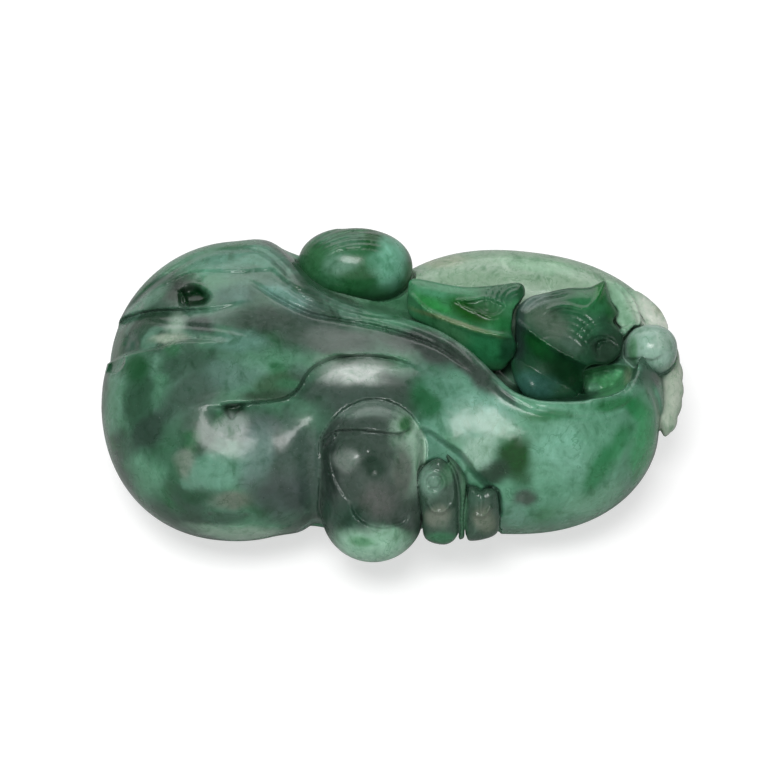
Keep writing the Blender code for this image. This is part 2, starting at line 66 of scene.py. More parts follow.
# %% [markdown]
# ## The sheet
#
# The carving is drawn on a sheet that leans back over the stone, square to the way the stone is looked at.
# On it u runs to the right, v runs up and w comes toward the viewer. All lengths in the form are
# seventieths of the stone's length, which are millimetres here.

# %% Sizes and directions
UNIT = 0.001
FLAT_CUT = 0.9          # trimmed off the underside
LEAN = math.radians(50)
SIN, COS = math.sin(LEAN), math.cos(LEAN)
MIDDLE = 13.0           # height of the sheet's origin over the untrimmed underside
STEP = 0.1              # of the grid that the carving is drawn on
U = np.arange(-38, 38, STEP)
V = np.arange(-27, 27, STEP)
print("grid of the sheet:", len(U), "by", len(V), "places")


def turned(x=0.0, y=0.0, z=0.0):
    """The rotation about X, then Y, then Z, in degrees, as a 3 by 3 array."""
    angles = [math.radians(a) for a in (x, y, z)]
    rotation = Matrix.Rotation(angles[2], 3, "Z") @ Matrix.Rotation(angles[1], 3, "Y")
    return np.array(rotation @ Matrix.Rotation(angles[0], 3, "X"))


SHEET = turned(x=40)


def on_sheet(u, v, w):
    """The point of the stone's own axes at a place on the sheet."""
    return np.array([u, v * SIN - w * COS, MIDDLE + v * COS + w * SIN])


def to_sheet(p):
    """The u, v and w of points given in the stone's own axes."""
    height = p[:, 2] - MIDDLE
    return p[:, 0], p[:, 1] * SIN + height * COS, height * SIN - p[:, 1] * COS


# %% [markdown]
# ## Forms as distances
#
# Each form is a function that gives about the distance from its surface, negative inside it. Two forms are
# joined by taking the smaller distance, with a soft change where they meet.

# %% Forms
def ease(x, width):
    """0 below zero and 1 above it, with a soft change over this width: t is the share of the width plus a
    half, kept between 0 and 1, and the value is 3 t squared less 2 t cubed."""
    t = np.clip(x / width + 0.5, 0, 1)
    return t * t * (3 - 2 * t)


def join(a, b, soft):
    """The smaller of two distances, less a little where they are nearly equal, which rounds the corner."""
    h = np.clip(0.5 + 0.5 * (b - a) / soft, 0, 1)
    return b + (a - b) * h - soft * h * (1 - h)


def cut(a, b, soft):
    """The larger of one distance and the other turned round, rounded in the same way."""
    return -join(-a, b, soft)


def rounded(p, centre, half, axes, fullness):
    """A full ellipsoid: the sum of the coordinates' shares of its half sizes, each to a power, against 1,
    over the slope of that sum, which makes it about a distance."""
    half = np.array(half, float)
    q = np.abs((p - np.array(centre)) @ axes / half) + 1e-9
    size = (q**fullness).sum(1) ** (1 / fullness)
    slope = q ** (fullness - 1) / half * (size ** (1 - fullness))[:, None]
    return (size - 1) / np.sqrt((slope**2).sum(1))


def lobe(p, shape):
    """A full ellipsoid given by its centre, half sizes, turn about the upright and fullness."""
    centre, half, turn, fullness = shape
    return rounded(p, centre, half, turned(z=turn), fullness)


def bead(p, shape):
    """A full ellipsoid placed on the sheet. Far from it, the distance from the ball around it is enough."""
    place, half, turn, fullness = shape
    centre = on_sheet(*place)
    far = np.linalg.norm(p - centre, axis=1) - max(half)
    near = far < 3
    far[near] = rounded(p[near], centre, half, SHEET @ turned(z=turn), fullness)
    return far


def rod(p, shape):
    """The distance from a stretch of line, less a radius."""
    start, end, radius = on_sheet(*shape[0]), on_sheet(*shape[1]), shape[2]
    way = end - start
    t = np.clip((p - start) @ way / (way @ way), 0, 1)
    return np.linalg.norm(p - start - t[:, None] * way, axis=1) - radius


def seated(d, piece, width=0.5, depth=0.7, soft=0.2):
    """Joins a raised piece, with a narrow cut in the surface around it."""
    seam = join(width - piece, d + depth, 0.3)
    return join(-join(-d, -seam, soft), piece, soft)


two_equal = np.ones(1)
print("two distances of 1 mm, joined over 2 mm: %.2f mm" % join(two_equal, two_equal, 2.0)[0])

# %% [markdown]
# ## Carving
#
# A ledge lowers the surface on one side of a line. A groove cuts a round channel along it. Each is worked out
# from the distance to the line, over the grid of the sheet, and is added to a relief that is read like a map.

# %% Lines on the sheet
def smooth_route(points, steps=4):
    """The points joined by a Catmull-Rom curve, with this many steps between two of them."""
    q = np.array(points, float)
    before = np.vstack([q[:1], q[:-2]])
    after = np.vstack([q[2:], q[-1:]])
    start, end = q[:-1], q[1:]
    t = np.linspace(0, 1, steps, endpoint=False)[:, None, None]
    curve = 2 * start + (end - before) * t + (2 * before - 5 * start + 4 * end - after) * t**2
    curve = (curve + (3 * start - before - 3 * end + after) * t**3) / 2
    return np.vstack([curve.transpose(1, 0, 2).reshape(-1, 2), q[-1:]])


def from_line(line, u, v):
    """Distance from a line, negative on its right, and how far along the line that is, 0 to 1."""
    route = smooth_route(line)
    start, way = route[:-1], np.diff(route, axis=0)
    long = np.hypot(way[:, 0], way[:, 1])
    before = np.concatenate([[0], np.cumsum(long)[:-1]])
    x, y = u[:, None] - start[:, 0], v[:, None] - start[:, 1]
    t = np.clip((x * way[:, 0] + y * way[:, 1]) / long**2, 0, 1)
    dx, dy = x - t * way[:, 0], y - t * way[:, 1]
    distance = np.hypot(dx, dy)
    near = distance.argmin(1)
    rows = np.arange(len(near))
    least = distance[rows, near]
    weight = np.exp((least[:, None] - distance) / 0.6)
    share = (weight * (before + t * long)).sum(1) / weight.sum(1) / long.sum()
    side = np.sign(way[near, 0] * dy[rows, near] - way[near, 1] * dx[rows, near])
    return least * side, share


def window(route, reach):
    """The part of the sheet's grid within this reach of a route, and its u and v."""
    low = np.maximum(((route.min(0) - reach - (U[0], V[0])) / STEP).astype(int), 0)
    high = ((route.max(0) + reach - (U[0], V[0])) / STEP).astype(int) + 1
    area = np.s_[low[0] : high[0], low[1] : high[1]]
    return area, *np.meshgrid(U[area[0]], V[area[1]], indexing="ij")


def draw(relief, line, profile, reach, ends=(0.1, 0.1)):
    """Adds a profile, a function of the distance from the line, that fades over a share of it at its ends."""
    area, u, v = window(np.array(line, float), reach)
    away, share = from_line(line, u.ravel(), v.ravel())
    fade = np.clip(share / max(ends[0], 1e-6), 0, 1) * np.clip((1 - share) / max(ends[1], 1e-6), 0, 1)
    amount = profile(away) * fade * fade * (3 - 2 * fade)
    relief[area] += amount.reshape(u.shape)


def outlined(line, reach=3.0, scallops=0, rise=0.0):
    """The distance from a closed outline over the sheet's grid, negative inside it. A place is inside when a
    line to its right crosses the outline an odd number of times. Scallops add a row of half sine waves."""
    closed = line + line[:1]
    route = smooth_route(closed)
    area, u, v = window(route, reach)
    away, share = from_line(closed, u.ravel(), v.ravel())
    start, end = route[:-1], route[1:]
    spans = (start[:, 1] > v.ravel()[:, None]) != (end[:, 1] > v.ravel()[:, None])
    slant = (end[:, 0] - start[:, 0]) / np.where(end[:, 1] == start[:, 1], 1, end[:, 1] - start[:, 1])
    across = start[:, 0] + (v.ravel()[:, None] - start[:, 1]) * slant
    inside = (spans & (u.ravel()[:, None] < across)).sum(1) % 2 == 1
    result = np.full((len(U), len(V)), reach)
    result[area] = (np.where(inside, -1, 1) * np.abs(away)).reshape(u.shape)
    result[area] -= rise * np.abs(np.sin(math.pi * scallops * share)).reshape(u.shape)
    return np.minimum(result, reach)


def dome(outline, height, radius):
    """Rises from an outline to this height over this radius: t is the distance inside over the radius, 1 at
    most, and the rise is the height times t times 2 less t."""
    t = np.clip(-outline / radius, 0, 1)
    return height * t * (2 - t)


def plane(u, v, w, along_u=0.0, along_v=0.0):
    """A plane over the sheet's grid through a place, with a rise along u and v."""
    return w + (U[:, None] - u) * along_u + (V[None, :] - v) * along_v


def ledge(height, fall, edge=0.5, side=-1, shift=0.0):
    """Lowered most at the line, on its right or its left: the height times e to the power of minus the
    distance over the fall, with a soft edge at the line."""

    def profile(away):
        beyond = (away - shift) * side
        return height * np.exp(-np.clip(beyond, 0, None) / fall) * ease(beyond, edge)

    return profile


def groove(depth, width, shift=0.0):
    """A round channel, or a ridge where the depth is negative: the depth times e to the power of minus the
    square of the distance over the width."""
    return lambda away: depth * np.exp(-(((away - shift) / width) ** 2))


def read(relief, u, v):
    """The relief at places on the sheet, from the four corners of the grid around each."""
    x = np.clip((u - U[0]) / STEP, 0, len(U) - 1.001)
    y = np.clip((v - V[0]) / STEP, 0, len(V) - 1.001)
    i, j = x.astype(int), y.astype(int)
    x, y = x - i, y - j
    low = relief[i, j] * (1 - x) + relief[i + 1, j] * x
    high = relief[i, j + 1] * (1 - x) + relief[i + 1, j + 1] * x
    return low * (1 - y) + high * y


print("a ledge of 1 mm, 2 mm beyond its line: %.2f mm" % ledge(1.0, 2.0)(np.full(1, -2.0))[0])

# %% [markdown]
# ## The masses
#
# Two lobes, a back wall and a bulge at the front make the body. The knobs are full ellipsoids, and the boss
# is a rod with round ends. They could be sculpted by hand, but as forms with sizes they stay easy to change.

# %% The body, the knobs and the boss
LEFT_LOBE = ((-18.5, 0.9, 12.6), (16.6, 20.7, 12.6), -5, 2.15)
RIGHT_LOBE = ((14.6, -0.2, 12.2), (18.1, 17.8, 12.2), 0, 2.25)
BACK_PLATE = ((14.6, 5.8, 10.6), (19.4, 17.2, 8.4), -9, 2.25)
BACK_MIDDLE = ((-3.8, 8.0, 10.8), (12.6, 11.8, 10.5), 0, 2.2)
FRONT_BULGE = ((-3.5, -7.4, 13.0), (12.0, 12.3, 11.6), 0, 2.1)
UNDERSIDE = ((-1.5, 0.0, 8.8), (20.0, 12.0, 8.3), 0, 2.3)
HOLLOW = ((15.8, 4.6, 25.0), (20.0, 14.0, 10.2), -9, 2.3)

OUTER_BULK = ((32.2, 0.6, -2.6), (4.6, 7.4, 5.4), 0, 2.3)
THORN = ((27.9, 7.5, 1), (29.1, 7.7, 0.6), 0.55)
RIM_KNOB = ((31.1, 5.2, 0.4), (3.2, 3.05, 4.4), 0, 2.2)
KNOB = ((-4.6, 15.4, -6.2), (7.0, 4.75, 6.6), -3, 2.15)
BOSS = ((-2.4, -6.9, 12.8), (-2.4, -13.9, 10.6), 6.15)
print("knob: %.1f by %.1f mm, boss: %.1f mm wide" % (2 * KNOB[1][0], 2 * KNOB[1][1], 2 * BOSS[2]))

# %% [markdown]
# The leaf, the bud, the small leaves at the right end and the folds have free shapes. Each is an outline on
# the sheet, of a few listed places, under a top of its own.

# %% Outlines of the raised pieces
SIDE_SLOPE = 0.3        # of the outlined pieces' sides
LEAF = (
    (1.8, 12.4), (2.4, 13.8), (6.5, 13.1), (8.8, 12.8), (11.2, 12.9), (13.1, 13.1), (15.2, 13.3),
    (15.9, 12.5), (15.7, 10.7), (14.7, 9.2), (14.2, 7.5), (14.8, 5.8), (14.4, 4.3), (12.9, 2.7),
    (10.7, 3.1), (8.8, 4.5), (6.8, 6.0), (4.2, 7.8), (1.9, 9.5),
)
LEAF_RIDGE = (
    (1.3, 12.2), (2.4, 11.5), (4.1, 9.9), (6.5, 8.7), (9.5, 7.6), (12.2, 7.0), (15.3, 6.6),
)
INLAY = (
    (7.7, 11.1), (9.5, 11.2), (11.2, 11.5), (12.4, 11.1), (13.5, 10.4), (12.7, 9.5), (11.7, 9.2),
    (10.5, 9.7), (9.0, 10.3),
)
BUD = (
    (14.7, 8.3), (14.8, 9.8), (15.4, 10.7), (16.5, 11.6), (18.5, 12.1), (19.7, 12.4), (21.4, 12.7),
    (23.8, 12.8), (25.6, 13.6), (25.9, 12.5), (26.3, 11.1), (27.0, 9.7), (26.5, 8.6), (27.6, 7.0),
    (27.6, 5.4), (27.0, 4.3), (25.7, 3.5), (23.8, 3.4), (22.8, 2.5), (23.0, 1.3), (22.7, -0.2),
    (21.7, -1.1), (19.8, -1.4), (17.7, -1.1), (16.0, -0.4), (15.0, 0.8), (14.4, 2.1), (14.2, 3.7),
    (14.6, 5.8),
)
BUD_RIDGE = (
    (13.9, 9.3), (15.3, 8.2), (17.1, 6.9), (18.8, 5.7), (20.5, 4.7), (22.2, 3.9), (24.0, 2.9),
)
BUD_EDGE = (
    (15.8, 9.8), (16.8, 10.9), (18.3, 11.6), (19.9, 11.9), (21.4, 12.3),
)
PETAL_EDGE = (
    (17.9, 9.4), (19.3, 10.3), (20.9, 10.5), (22.8, 10.1), (24.0, 10.6), (25.0, 12.1), (25.5, 13.5),
)
FLOWING_LINE = (
    (18.3, 9.3), (20.1, 9.9), (22.2, 9.7), (23.8, 8.6), (24.6, 7.1),
)
DISH = (
    (22.6, 2.5), (24.5, 3.1), (26.3, 3.4), (27.9, 3.3), (28.3, 2.5), (27.7, 1.0), (26.3, 0.0),
    (24.5, -0.4), (22.6, -0.1),
)
WEDGE_LEAF = (
    (25.6, 14.0), (27.0, 13.6), (28.6, 12.4), (29.6, 10.7), (30.0, 8.8), (29.4, 7.6), (27.4, 8.0),
    (26.5, 10.1), (25.9, 12.4),
)
END_LEAF = (
    (27.9, 12.7), (29.9, 12.4), (31.6, 11.2), (32.9, 9.7), (33.5, 7.6), (31.7, 7.1), (29.9, 8.0),
    (29.6, 10.5),
)
OUTER_LEAF = (
    (32.9, 7.6), (33.9, 6.4), (34.5, 4.6), (34.9, 2.8), (35.0, 1.0), (34.9, -0.8), (34.5, -2.3),
    (34.0, -3.9), (33.5, -5.1), (32.7, -5.7), (31.7, -4.5), (31.0, -0.8), (30.8, 2.8), (31.2, 5.8),
)
CURL = (
    (3.5, -8.7), (5.4, -7.6), (6.9, -9.0), (7.6, -11.5), (7.7, -14.4), (7.6, -16.8), (6.4, -17.9),
    (4.6, -17.7), (3.6, -16.8), (3.4, -14.4), (2.9, -11.9), (2.8, -10.0),
)
STRIP = (
    (6.2, -7.0), (7.6, -8.3), (8.7, -10.3), (8.9, -13.5), (8.8, -16.5), (8.4, -17.2), (7.5, -17.0),
    (7.4, -13.5), (7.1, -11.1), (6.4, -8.8),
)
SECOND_FOLD = (
    (8.9, -11.0), (9.8, -11.1), (10.4, -11.5), (11.2, -11.2), (12.2, -11.6), (12.5, -13.5),
    (12.5, -16.0), (11.7, -17.0), (9.5, -17.5), (8.7, -17.0), (8.6, -14.1),
)
END_CREASE = (
    (26.9, 13.5), (28.3, 11.8), (29.3, 9.8), (29.7, 8.1),
)
END_FOLD = (
    (28.1, 4.1), (29.6, 4.2), (31.2, 4.0), (32.7, 4.9),
)
print("places on the outlines of the leaf and the bud:", len(LEAF), len(BUD))

# %% [markdown]
# ## The lines of the carving
#
# The body has the long lines of the band, the ledge that arches over the bulge, the pleats at the left end
# and the rims. The boss has a brim and a lip. A line with a number before it has that depth.

# %% Lines on the body and the boss
BAND_EDGE = (
    (-19.4, 18.5), (-15.8, 18.5), (-13.4, 16.6), (-11.2, 13.9), (-8.6, 11.7), (-4.9, 10.1),
    (0.2, 9.2), (3.4, 8.2), (5.8, 7.1), (8.3, 5.5), (10.3, 3.7), (12.2, 1.8), (14.1, 0.1),
    (16.9, -1.1), (20.1, -1.3), (23.0, -1.1), (25.6, -0.6), (27.9, 0.6), (29.0, 2.8),
)
BAND_LINES = (
    (0.5, (
        (-18.1, 14.0), (-16.0, 12.7), (-13.6, 11.2), (-11.3, 10.0), (-9.4, 9.3), (-6.6, 8.8),
        (-3.1, 8.2), (0.8, 7.2), (4.6, 5.8), (6.8, 4.5), (9.0, 2.8), (10.5, 1.1),
    )),
    (0.3, (
        (-15.3, 14.0), (-12.9, 12.7), (-10.1, 11.0), (-7.8, 10.0), (-5.4, 9.2), (-1.9, 8.7), (2.1, 7.5),
        (4.7, 6.4), (7.1, 4.9), (9.8, 2.5), (11.7, 0.1),
    )),
    (0.25, (
        (-15.8, 15.8), (-13.4, 13.6), (-11.1, 12.2), (-8.9, 11.5), (-6.6, 10.5), (-3.1, 9.4), (0.8, 8.9),
        (4.2, 7.7), (6.9, 6.2),
    )),
    (0.2, (
        (4.5, 7.5), (7.0, 6.2), (9.0, 4.3), (10.7, 2.3), (13.1, -0.1), (15.7, -1.6), (18.1, -2.3),
        (21.8, -2.8), (25.5, -2.3), (28.0, -1.2), (29.8, 0.6),
    )),
    (0.15, (
        (15.3, -1.0), (18.1, -1.8), (21.8, -2.2), (25.5, -1.6), (28.0, -0.2),
    )),
)
ARCH = (
    (-22.4, -1.7), (-19.8, -1.6), (-16.5, -1.1), (-14.6, -1.0), (-12.5, -0.5), (-11.2, 0.6),
    (-10.1, 2.4), (-9.0, 3.4), (-6.8, 4.3), (-3.7, 4.5), (-0.8, 4.3), (1.6, 3.6), (4.0, 2.3),
)
NOTCH = (
    (-20.1, -1.3), (-17.5, -1.2), (-18.5, -2.3), (-19.1, -3.0),
)
LEFT_RIM = (
    (-33.2, 9.0), (-31.2, 11.0), (-29.2, 12.9), (-26.1, 15.2), (-22.8, 17.0), (-19.5, 17.4),
    (-16.0, 17.2), (-13.4, 15.1), (-11.6, 13.0),
)
CAP_EDGE = (
    (-29.8, 11.9), (-27.3, 13.1), (-24.7, 14.5), (-21.8, 14.7), (-18.6, 14.6), (-15.8, 14.8),
    (-13.1, 14.6),
)
RIGHT_RIM = (
    (30.4, 1.2), (31.6, -0.8), (32.1, -3.9), (32.0, -7.5), (30.4, -11.7),
)
UPPER_PLEAT = (
    (-35.8, 5.4), (-32.9, 8.7), (-31.2, 9.5), (-29.0, 9.9), (-25.5, 10.0), (-21.8, 10.1),
    (-19.5, 10.5), (-16.3, 11.3),
)
MIDDLE_PLEATS = (
    (0.12, (
        (-30.5, 9.0), (-27.5, 8.3), (-24.2, 8.0), (-20.9, 7.7), (-18.1, 7.2), (-16.5, 6.6),
    )),
    (0.12, (
        (-27.5, 6.9), (-24.2, 7.0), (-21.8, 6.9), (-19.4, 6.6),
    )),
)
LOWER_PLEAT = (
    (-34.1, 3.7), (-31.7, 4.7), (-29.0, 5.3), (-27.0, 5.7), (-25.2, 6.3), (-21.8, 6.2), (-18.9, 6.2),
)
PIT = (
    (-25.8, 12.2), (-24.7, 12.9), (-23.3, 12.8), (-21.8, 11.7), (-22.3, 10.6), (-23.8, 10.3),
    (-25.5, 10.4),
)
PIT_CREASE = (
    (-25.5, 12.5), (-25.1, 11.5), (-24.7, 10.3),
)
FACET = (
    (-34.4, 2.5), (-34.0, 3.5), (-32.9, 4.2), (-32.1, 4.2), (-32.2, 3.3), (-33.2, 2.4),
)
BRIM = (
    (-8.6, -6.9), (-8.0, -5.4), (-6.8, -4.5), (-4.1, -4.3), (-1.1, -4.6), (1.1, -4.6), (2.4, -3.7),
)
BOSS_LEFT = (
    (-6.8, -4.7), (-7.5, -6.6), (-7.1, -9.5), (-5.9, -11.9), (-4.9, -13.1),
)
BOSS_LINES = (
    (
        (-8.1, -5.7), (-8.3, -7.8), (-8.0, -10.5), (-7.5, -12.7),
    ),
    (
        (-7.2, -5.4), (-7.8, -7.5), (-7.5, -10.0), (-6.6, -12.4),
    ),
)
LIP = (
    (-5.1, -12.4), (-4.6, -14.1), (-3.3, -15.3), (-1.3, -15.8), (1.1, -15.4), (2.1, -14.1),
)
BOSS_SIDE = (
    (-7.6, -1.8), (-8.7, -4.2), (-9.2, -7.5), (-9.2, -11.1), (-8.9, -14.7), (-8.6, -17.7),
)
BODY_EDGE = (
    (3.4, -3.9), (6.0, -5.8), (8.2, -7.4), (9.7, -9.5), (11.0, -10.7), (12.4, -11.9), (12.7, -14.4),
)
FOLD_LINES = (
    (0.3, (
        (4.1, -12.9), (4.7, -13.8), (5.7, -14.0), (6.9, -13.1),
    )),
    (0.3, (
        (9.8, -14.4), (10.6, -14.5), (11.5, -13.5),
    )),
    (0.25, (
        (6.6, -8.1), (7.1, -10.5), (7.1, -13.5),
    )),
    (0.2, (
        (10.3, -11.6), (10.4, -12.9), (10.3, -14.1),
    )),
)
CHIPS = (
    (15.0, -12.1, 1.1), (15.6, -11.8, 0.7), (-21.6, -14.4, 0.7), (-17.4, -14.5, 0.6), (-31.6, 6.6, 1.0),
    (-30.9, 5.8, 0.8), (-30.6, 10.5, 0.9), (-23.2, 13.9, 0.7), (-32.0, 5.8, 0.6),
)
print("fine lines on the band, pleats, boss and folds:",
      [len(lines) for lines in (BAND_LINES, MIDDLE_PLEATS, BOSS_LINES, FOLD_LINES)])

# %% [markdown]
# Each relief is a map of how much is taken away, and each is read by its own pieces. The ledges give the big
# steps, and the fine grooves are added to them.

# %% Draw the front and the boss
def swirl(centre, radius, start, end, steps=7):
    """Points along an arc on the sheet whose radius grows a little from its start, angles in degrees."""
    angles = np.radians(np.linspace(start, end, steps))
    radii = radius * np.linspace(1, 1.15, steps)
    return [(centre[0] + r * math.cos(a), centre[1] + r * math.sin(a)) for r, a in zip(radii, angles)]


def spot(relief, u, v, height, radius):
    """Adds the height times e to the power of minus the square of the distance over the radius. It is a dent
    where the height is positive, because a relief is what is taken away, and a bump where it is negative."""
    relief += height * np.exp(-((U[:, None] - u) ** 2 + (V[None, :] - v) ** 2) / radius**2)


on_front, on_facing, on_recess, on_boss, on_leaf, on_bud, on_fold, on_knob, on_end = (
    np.zeros((len(U), len(V))) for _ in range(9)
)
draw(on_front, ARCH, ledge(1.3, 4.0, 0.6), 14, (0.12, 0.2))
on_front += 0.7 * ease(-outlined(NOTCH), 0.6)
draw(on_front, BODY_EDGE, ledge(1.3, 3.0, 1.0), 10, (0.1, 0.05))
draw(on_front, BOSS_SIDE, groove(1.3, 1.8), 6, (0.3, 0.1))
draw(on_facing, UPPER_PLEAT, ledge(1.0, 1.8), 7, (0, 0.5))
draw(on_facing, LOWER_PLEAT, ledge(0.9, 1.8, side=1), 7, (0, 0.4))
for depth, line in BAND_LINES + MIDDLE_PLEATS:
    draw(on_facing, line, groove(depth, 0.28), 1.2, (0.15, 0.15))
draw(on_facing, LEFT_RIM, groove(0.25, 0.35), 1.5)
draw(on_facing, CAP_EDGE, ledge(0.3, 2.0), 6, (0.2, 0.2))
draw(on_facing, RIGHT_RIM, groove(0.35, 0.4), 1.5)
pit = outlined(PIT)
on_facing += 1.1 * ease(-pit - 0.3, 1.2)
draw(on_facing, PIT_CREASE, groove(-0.5, 0.25), 1.2)
facet = outlined(FACET)
on_facing += 0.35 * ease(-facet, 0.3) - 0.12 * np.exp(-((facet / 0.2) ** 2))
for u, v, size in CHIPS:
    spot(on_facing, u, v, 0.3 * size, 0.6 * size)
draw(on_boss, BRIM, ledge(0.9, 2.5), 8, (0.15, 0.15))
draw(on_boss, BOSS_LEFT, ledge(0.4, 1.6, side=1), 6, (0.1, 0.2))
for line in BOSS_LINES:
    draw(on_boss, line, groove(0.18, 0.25), 1.2, (0.3, 0.3))
draw(on_boss, LIP, ledge(0.7, 2.2, side=1), 8, (0.2, 0.2))
spot(on_boss, -5.4, -8.2, -0.5, 1.5)
spot(on_boss, -2.3, -8.6, 0.5, 1.1)
spot(on_boss, -2.9, -6.9, -0.3, 0.7)
print("deepest carving on the body: %.2f mm" % (on_front + on_facing).max())

# %% [markdown]
# The leaf has an inlay in a sunk panel with fine arcs beside it. The bud has petals that curl, with flowing
# lines under them. The wall around the recess gets a hollow lip, and a dish lies at the foot of the bud.

# %% Draw the leaf, the bud and the recess
leaf, bud, inlay, dish = outlined(LEAF), outlined(BUD), outlined(INLAY), outlined(DISH)
draw(on_leaf, LEAF_RIDGE, groove(-0.3, 0.4), 2)
on_leaf += 0.35 * ease(-inlay - 0.1, 0.6) - 0.25 * np.exp(-((inlay / 0.22) ** 2))
spot(on_leaf, 11.3, 10.3, -0.45, 0.9)
for radius in (1.2, 1.8, 2.4, 3.0, 3.6):
    draw(on_leaf, swirl((15.2, 10.9), radius, 105, 190), groove(0.16, 0.18), 1, (0.2, 0.2))
draw(on_bud, BUD_RIDGE, groove(-0.3, 0.4), 2, (0.1, 0.1))
draw(on_bud, BUD_EDGE, groove(0.4, 0.35), 1.5, (0.2, 0.2))
draw(on_bud, PETAL_EDGE, groove(-0.35, 0.35), 1.5, (0.15, 0.1))
for turn, radius in enumerate((0.6, 1.1, 1.9, 2.5, 3.3)):
    middle = (25.2 + 0.5 * (turn % 2), 5.6 - 0.45 * (turn % 3))
    start, end = 70 - 35 * (turn % 3), 175 + 30 * (turn % 2)
    draw(on_bud, swirl(middle, radius, start, end), groove(0.34 - 0.05 * turn, 0.2), 1, (0.3, 0.3))
for shift in range(5):
    line = [(u - 0.35 * shift, v - 0.75 * shift) for u, v in FLOWING_LINE]
    draw(on_bud, line, groove(0.14, 0.2), 1, (0.2, 0.3))
spot(on_bud, 25.5, 5.8, 1.2, 1.6)
draw(on_recess, BAND_EDGE, ledge(1.6, 2.5, 1.0, side=1, shift=0.7), 9, (0.1, 0.2))
draw(on_recess, BAND_EDGE, groove(-0.55, 1.6, shift=-1.0), 6, (0.06, 0.15))
on_recess += 1.3 * ease(-dish - 0.3, 1.2) - 0.35 * np.exp(-((dish / 0.35) ** 2))
for shift in range(7):
    spot(on_recess, 23.6 + 0.66 * shift, 0.8 + 1.1 * (shift % 2) + 0.1 * shift, -0.35, 0.5)
print("deepest carving on the bud and in the recess: %.2f and %.2f mm" % (on_bud.max(), on_recess.max()))

# %% Draw the folds, the knob and the end
for depth, line in FOLD_LINES:
    draw(on_fold, line, groove(-depth, 0.25), 1.2, (0.2, 0.2))
draw(on_fold, swirl((4.8, -10.5), 0.75, 200, -120, 12), groove(0.3, 0.22), 1, (0.1, 0.1))
draw(on_fold, swirl((4.8, -10.5), 1.5, 170, -60, 10), groove(0.2, 0.22), 1, (0.2, 0.2))
for step in range(5):
    line = swirl((-4.9, 8.6 + 0.2 * step), 8.2 + 0.42 * step, 122, 60 + 3 * step)
    draw(on_knob, line, groove(0.12, 0.18), 1, (0.2, 0.2))
draw(on_end, END_CREASE, groove(0.2, 0.25), 1, (0.2, 0.1))
draw(on_end, END_FOLD, ledge(0.4, 1.2), 4, (0.2, 0.3))
band_side = np.stack([from_line(BAND_EDGE, np.full(len(V), u), V)[0] for u in U])
print("share of the sheet behind the band: %.0f%%" % (100 * (band_side > 0).mean()))

# %% [markdown]
# ## The tops
#
# The tops of the outlined pieces are planes with domed edges. A ridge runs over the leaf and over the bud,
# and the surface falls away below it.

# %% The tops of the outlined pieces
def below(line, slope, most):
    """How far the surface has fallen on the right of a line, at this slope and by this much at most."""
    area, u, v = window(np.array(line, float), 12)
    fall = np.zeros((len(U), len(V)))
    away = from_line(line, u.ravel(), v.ravel())[0].reshape(u.shape)
    fall[area] = np.clip(-away, 0, most / slope) * slope
    return fall


wedge_leaf, end_leaf = outlined(WEDGE_LEAF), outlined(END_LEAF)
outer_leaf = outlined(OUTER_LEAF, scallops=13, rise=0.18)
curl, strip, second_fold = outlined(CURL), outlined(STRIP), outlined(SECOND_FOLD)
leaf_top = plane(9.3, 8.8, 3.3, -0.02, -0.5) + dome(leaf, 0.9, 1.8) - below(LEAF_RIDGE, 1.1, 5.0) - on_leaf
bud_top = plane(18.3, 7.0, 3.4, -0.2, -0.45) + dome(bud, 1.3, 2.0) - below(BUD_RIDGE, 1.1, 3.8) - on_bud
wedge_top = plane(27.6, 10.6, -1.8, -0.1, -0.75) + dome(wedge_leaf, 0.5, 1.2) - on_end
end_top = plane(31.2, 9.4, -4.9, -0.45, -0.75) + dome(end_leaf, 0.5, 1.2) - on_end
outer_top = plane(33.2, 1.0, 0.3, -0.6, -0.3) + dome(outer_leaf, 0.6, 1.5)
curl_top = plane(5.3, -10.5, 14.3, 0, 0.4) + dome(curl, 0.9, 1.5) - on_fold
strip_top = plane(8.1, -10.5, 14, 0, 0.4) + dome(strip, 0.5, 0.5)
second_top = plane(10.7, -13.5, 12.9, -0.05, 0.35) + dome(second_fold, 0.9, 1.4) - on_fold
spot(bud_top, 16.8, 1.3, 1.1, 2.0)
print("highest place on the bud: %.1f mm on the sheet" % bud_top[bud < 0].max())

# %% [markdown]
# ## The whole form
#
# A carver works from the mass to the pieces and the lines, and so does this function. It joins the masses,
# cuts the recess, sets the raised pieces into their seams and takes the reliefs away. Last it trims the
# underside, so that the stone rests flat.

# %% The whole form
def body(p):
    """The plain body, without any carving."""
    d = join(lobe(p, LEFT_LOBE), lobe(p, RIGHT_LOBE), 5.0)
    d = join(d, lobe(p, BACK_MIDDLE), 3.0)
    d = join(d, lobe(p, BACK_PLATE), 1.2)
    d = join(d, lobe(p, FRONT_BULGE), 4.0)
    return join(d, lobe(p, UNDERSIDE), 1.5)


def pad(u, v, w, outline, top, lowest, soft=0.4):
    """A raised piece: the largest of three distances, inside its outline, under its top and over a lowest w.
    Its sides lean inwards toward the foot."""
    under = read(top, u, v) - w
    side = read(outline, u, v) + SIDE_SLOPE * np.clip(under - 1, 0, None)
    return cut(cut(side, under, soft), w - lowest, 1.0)


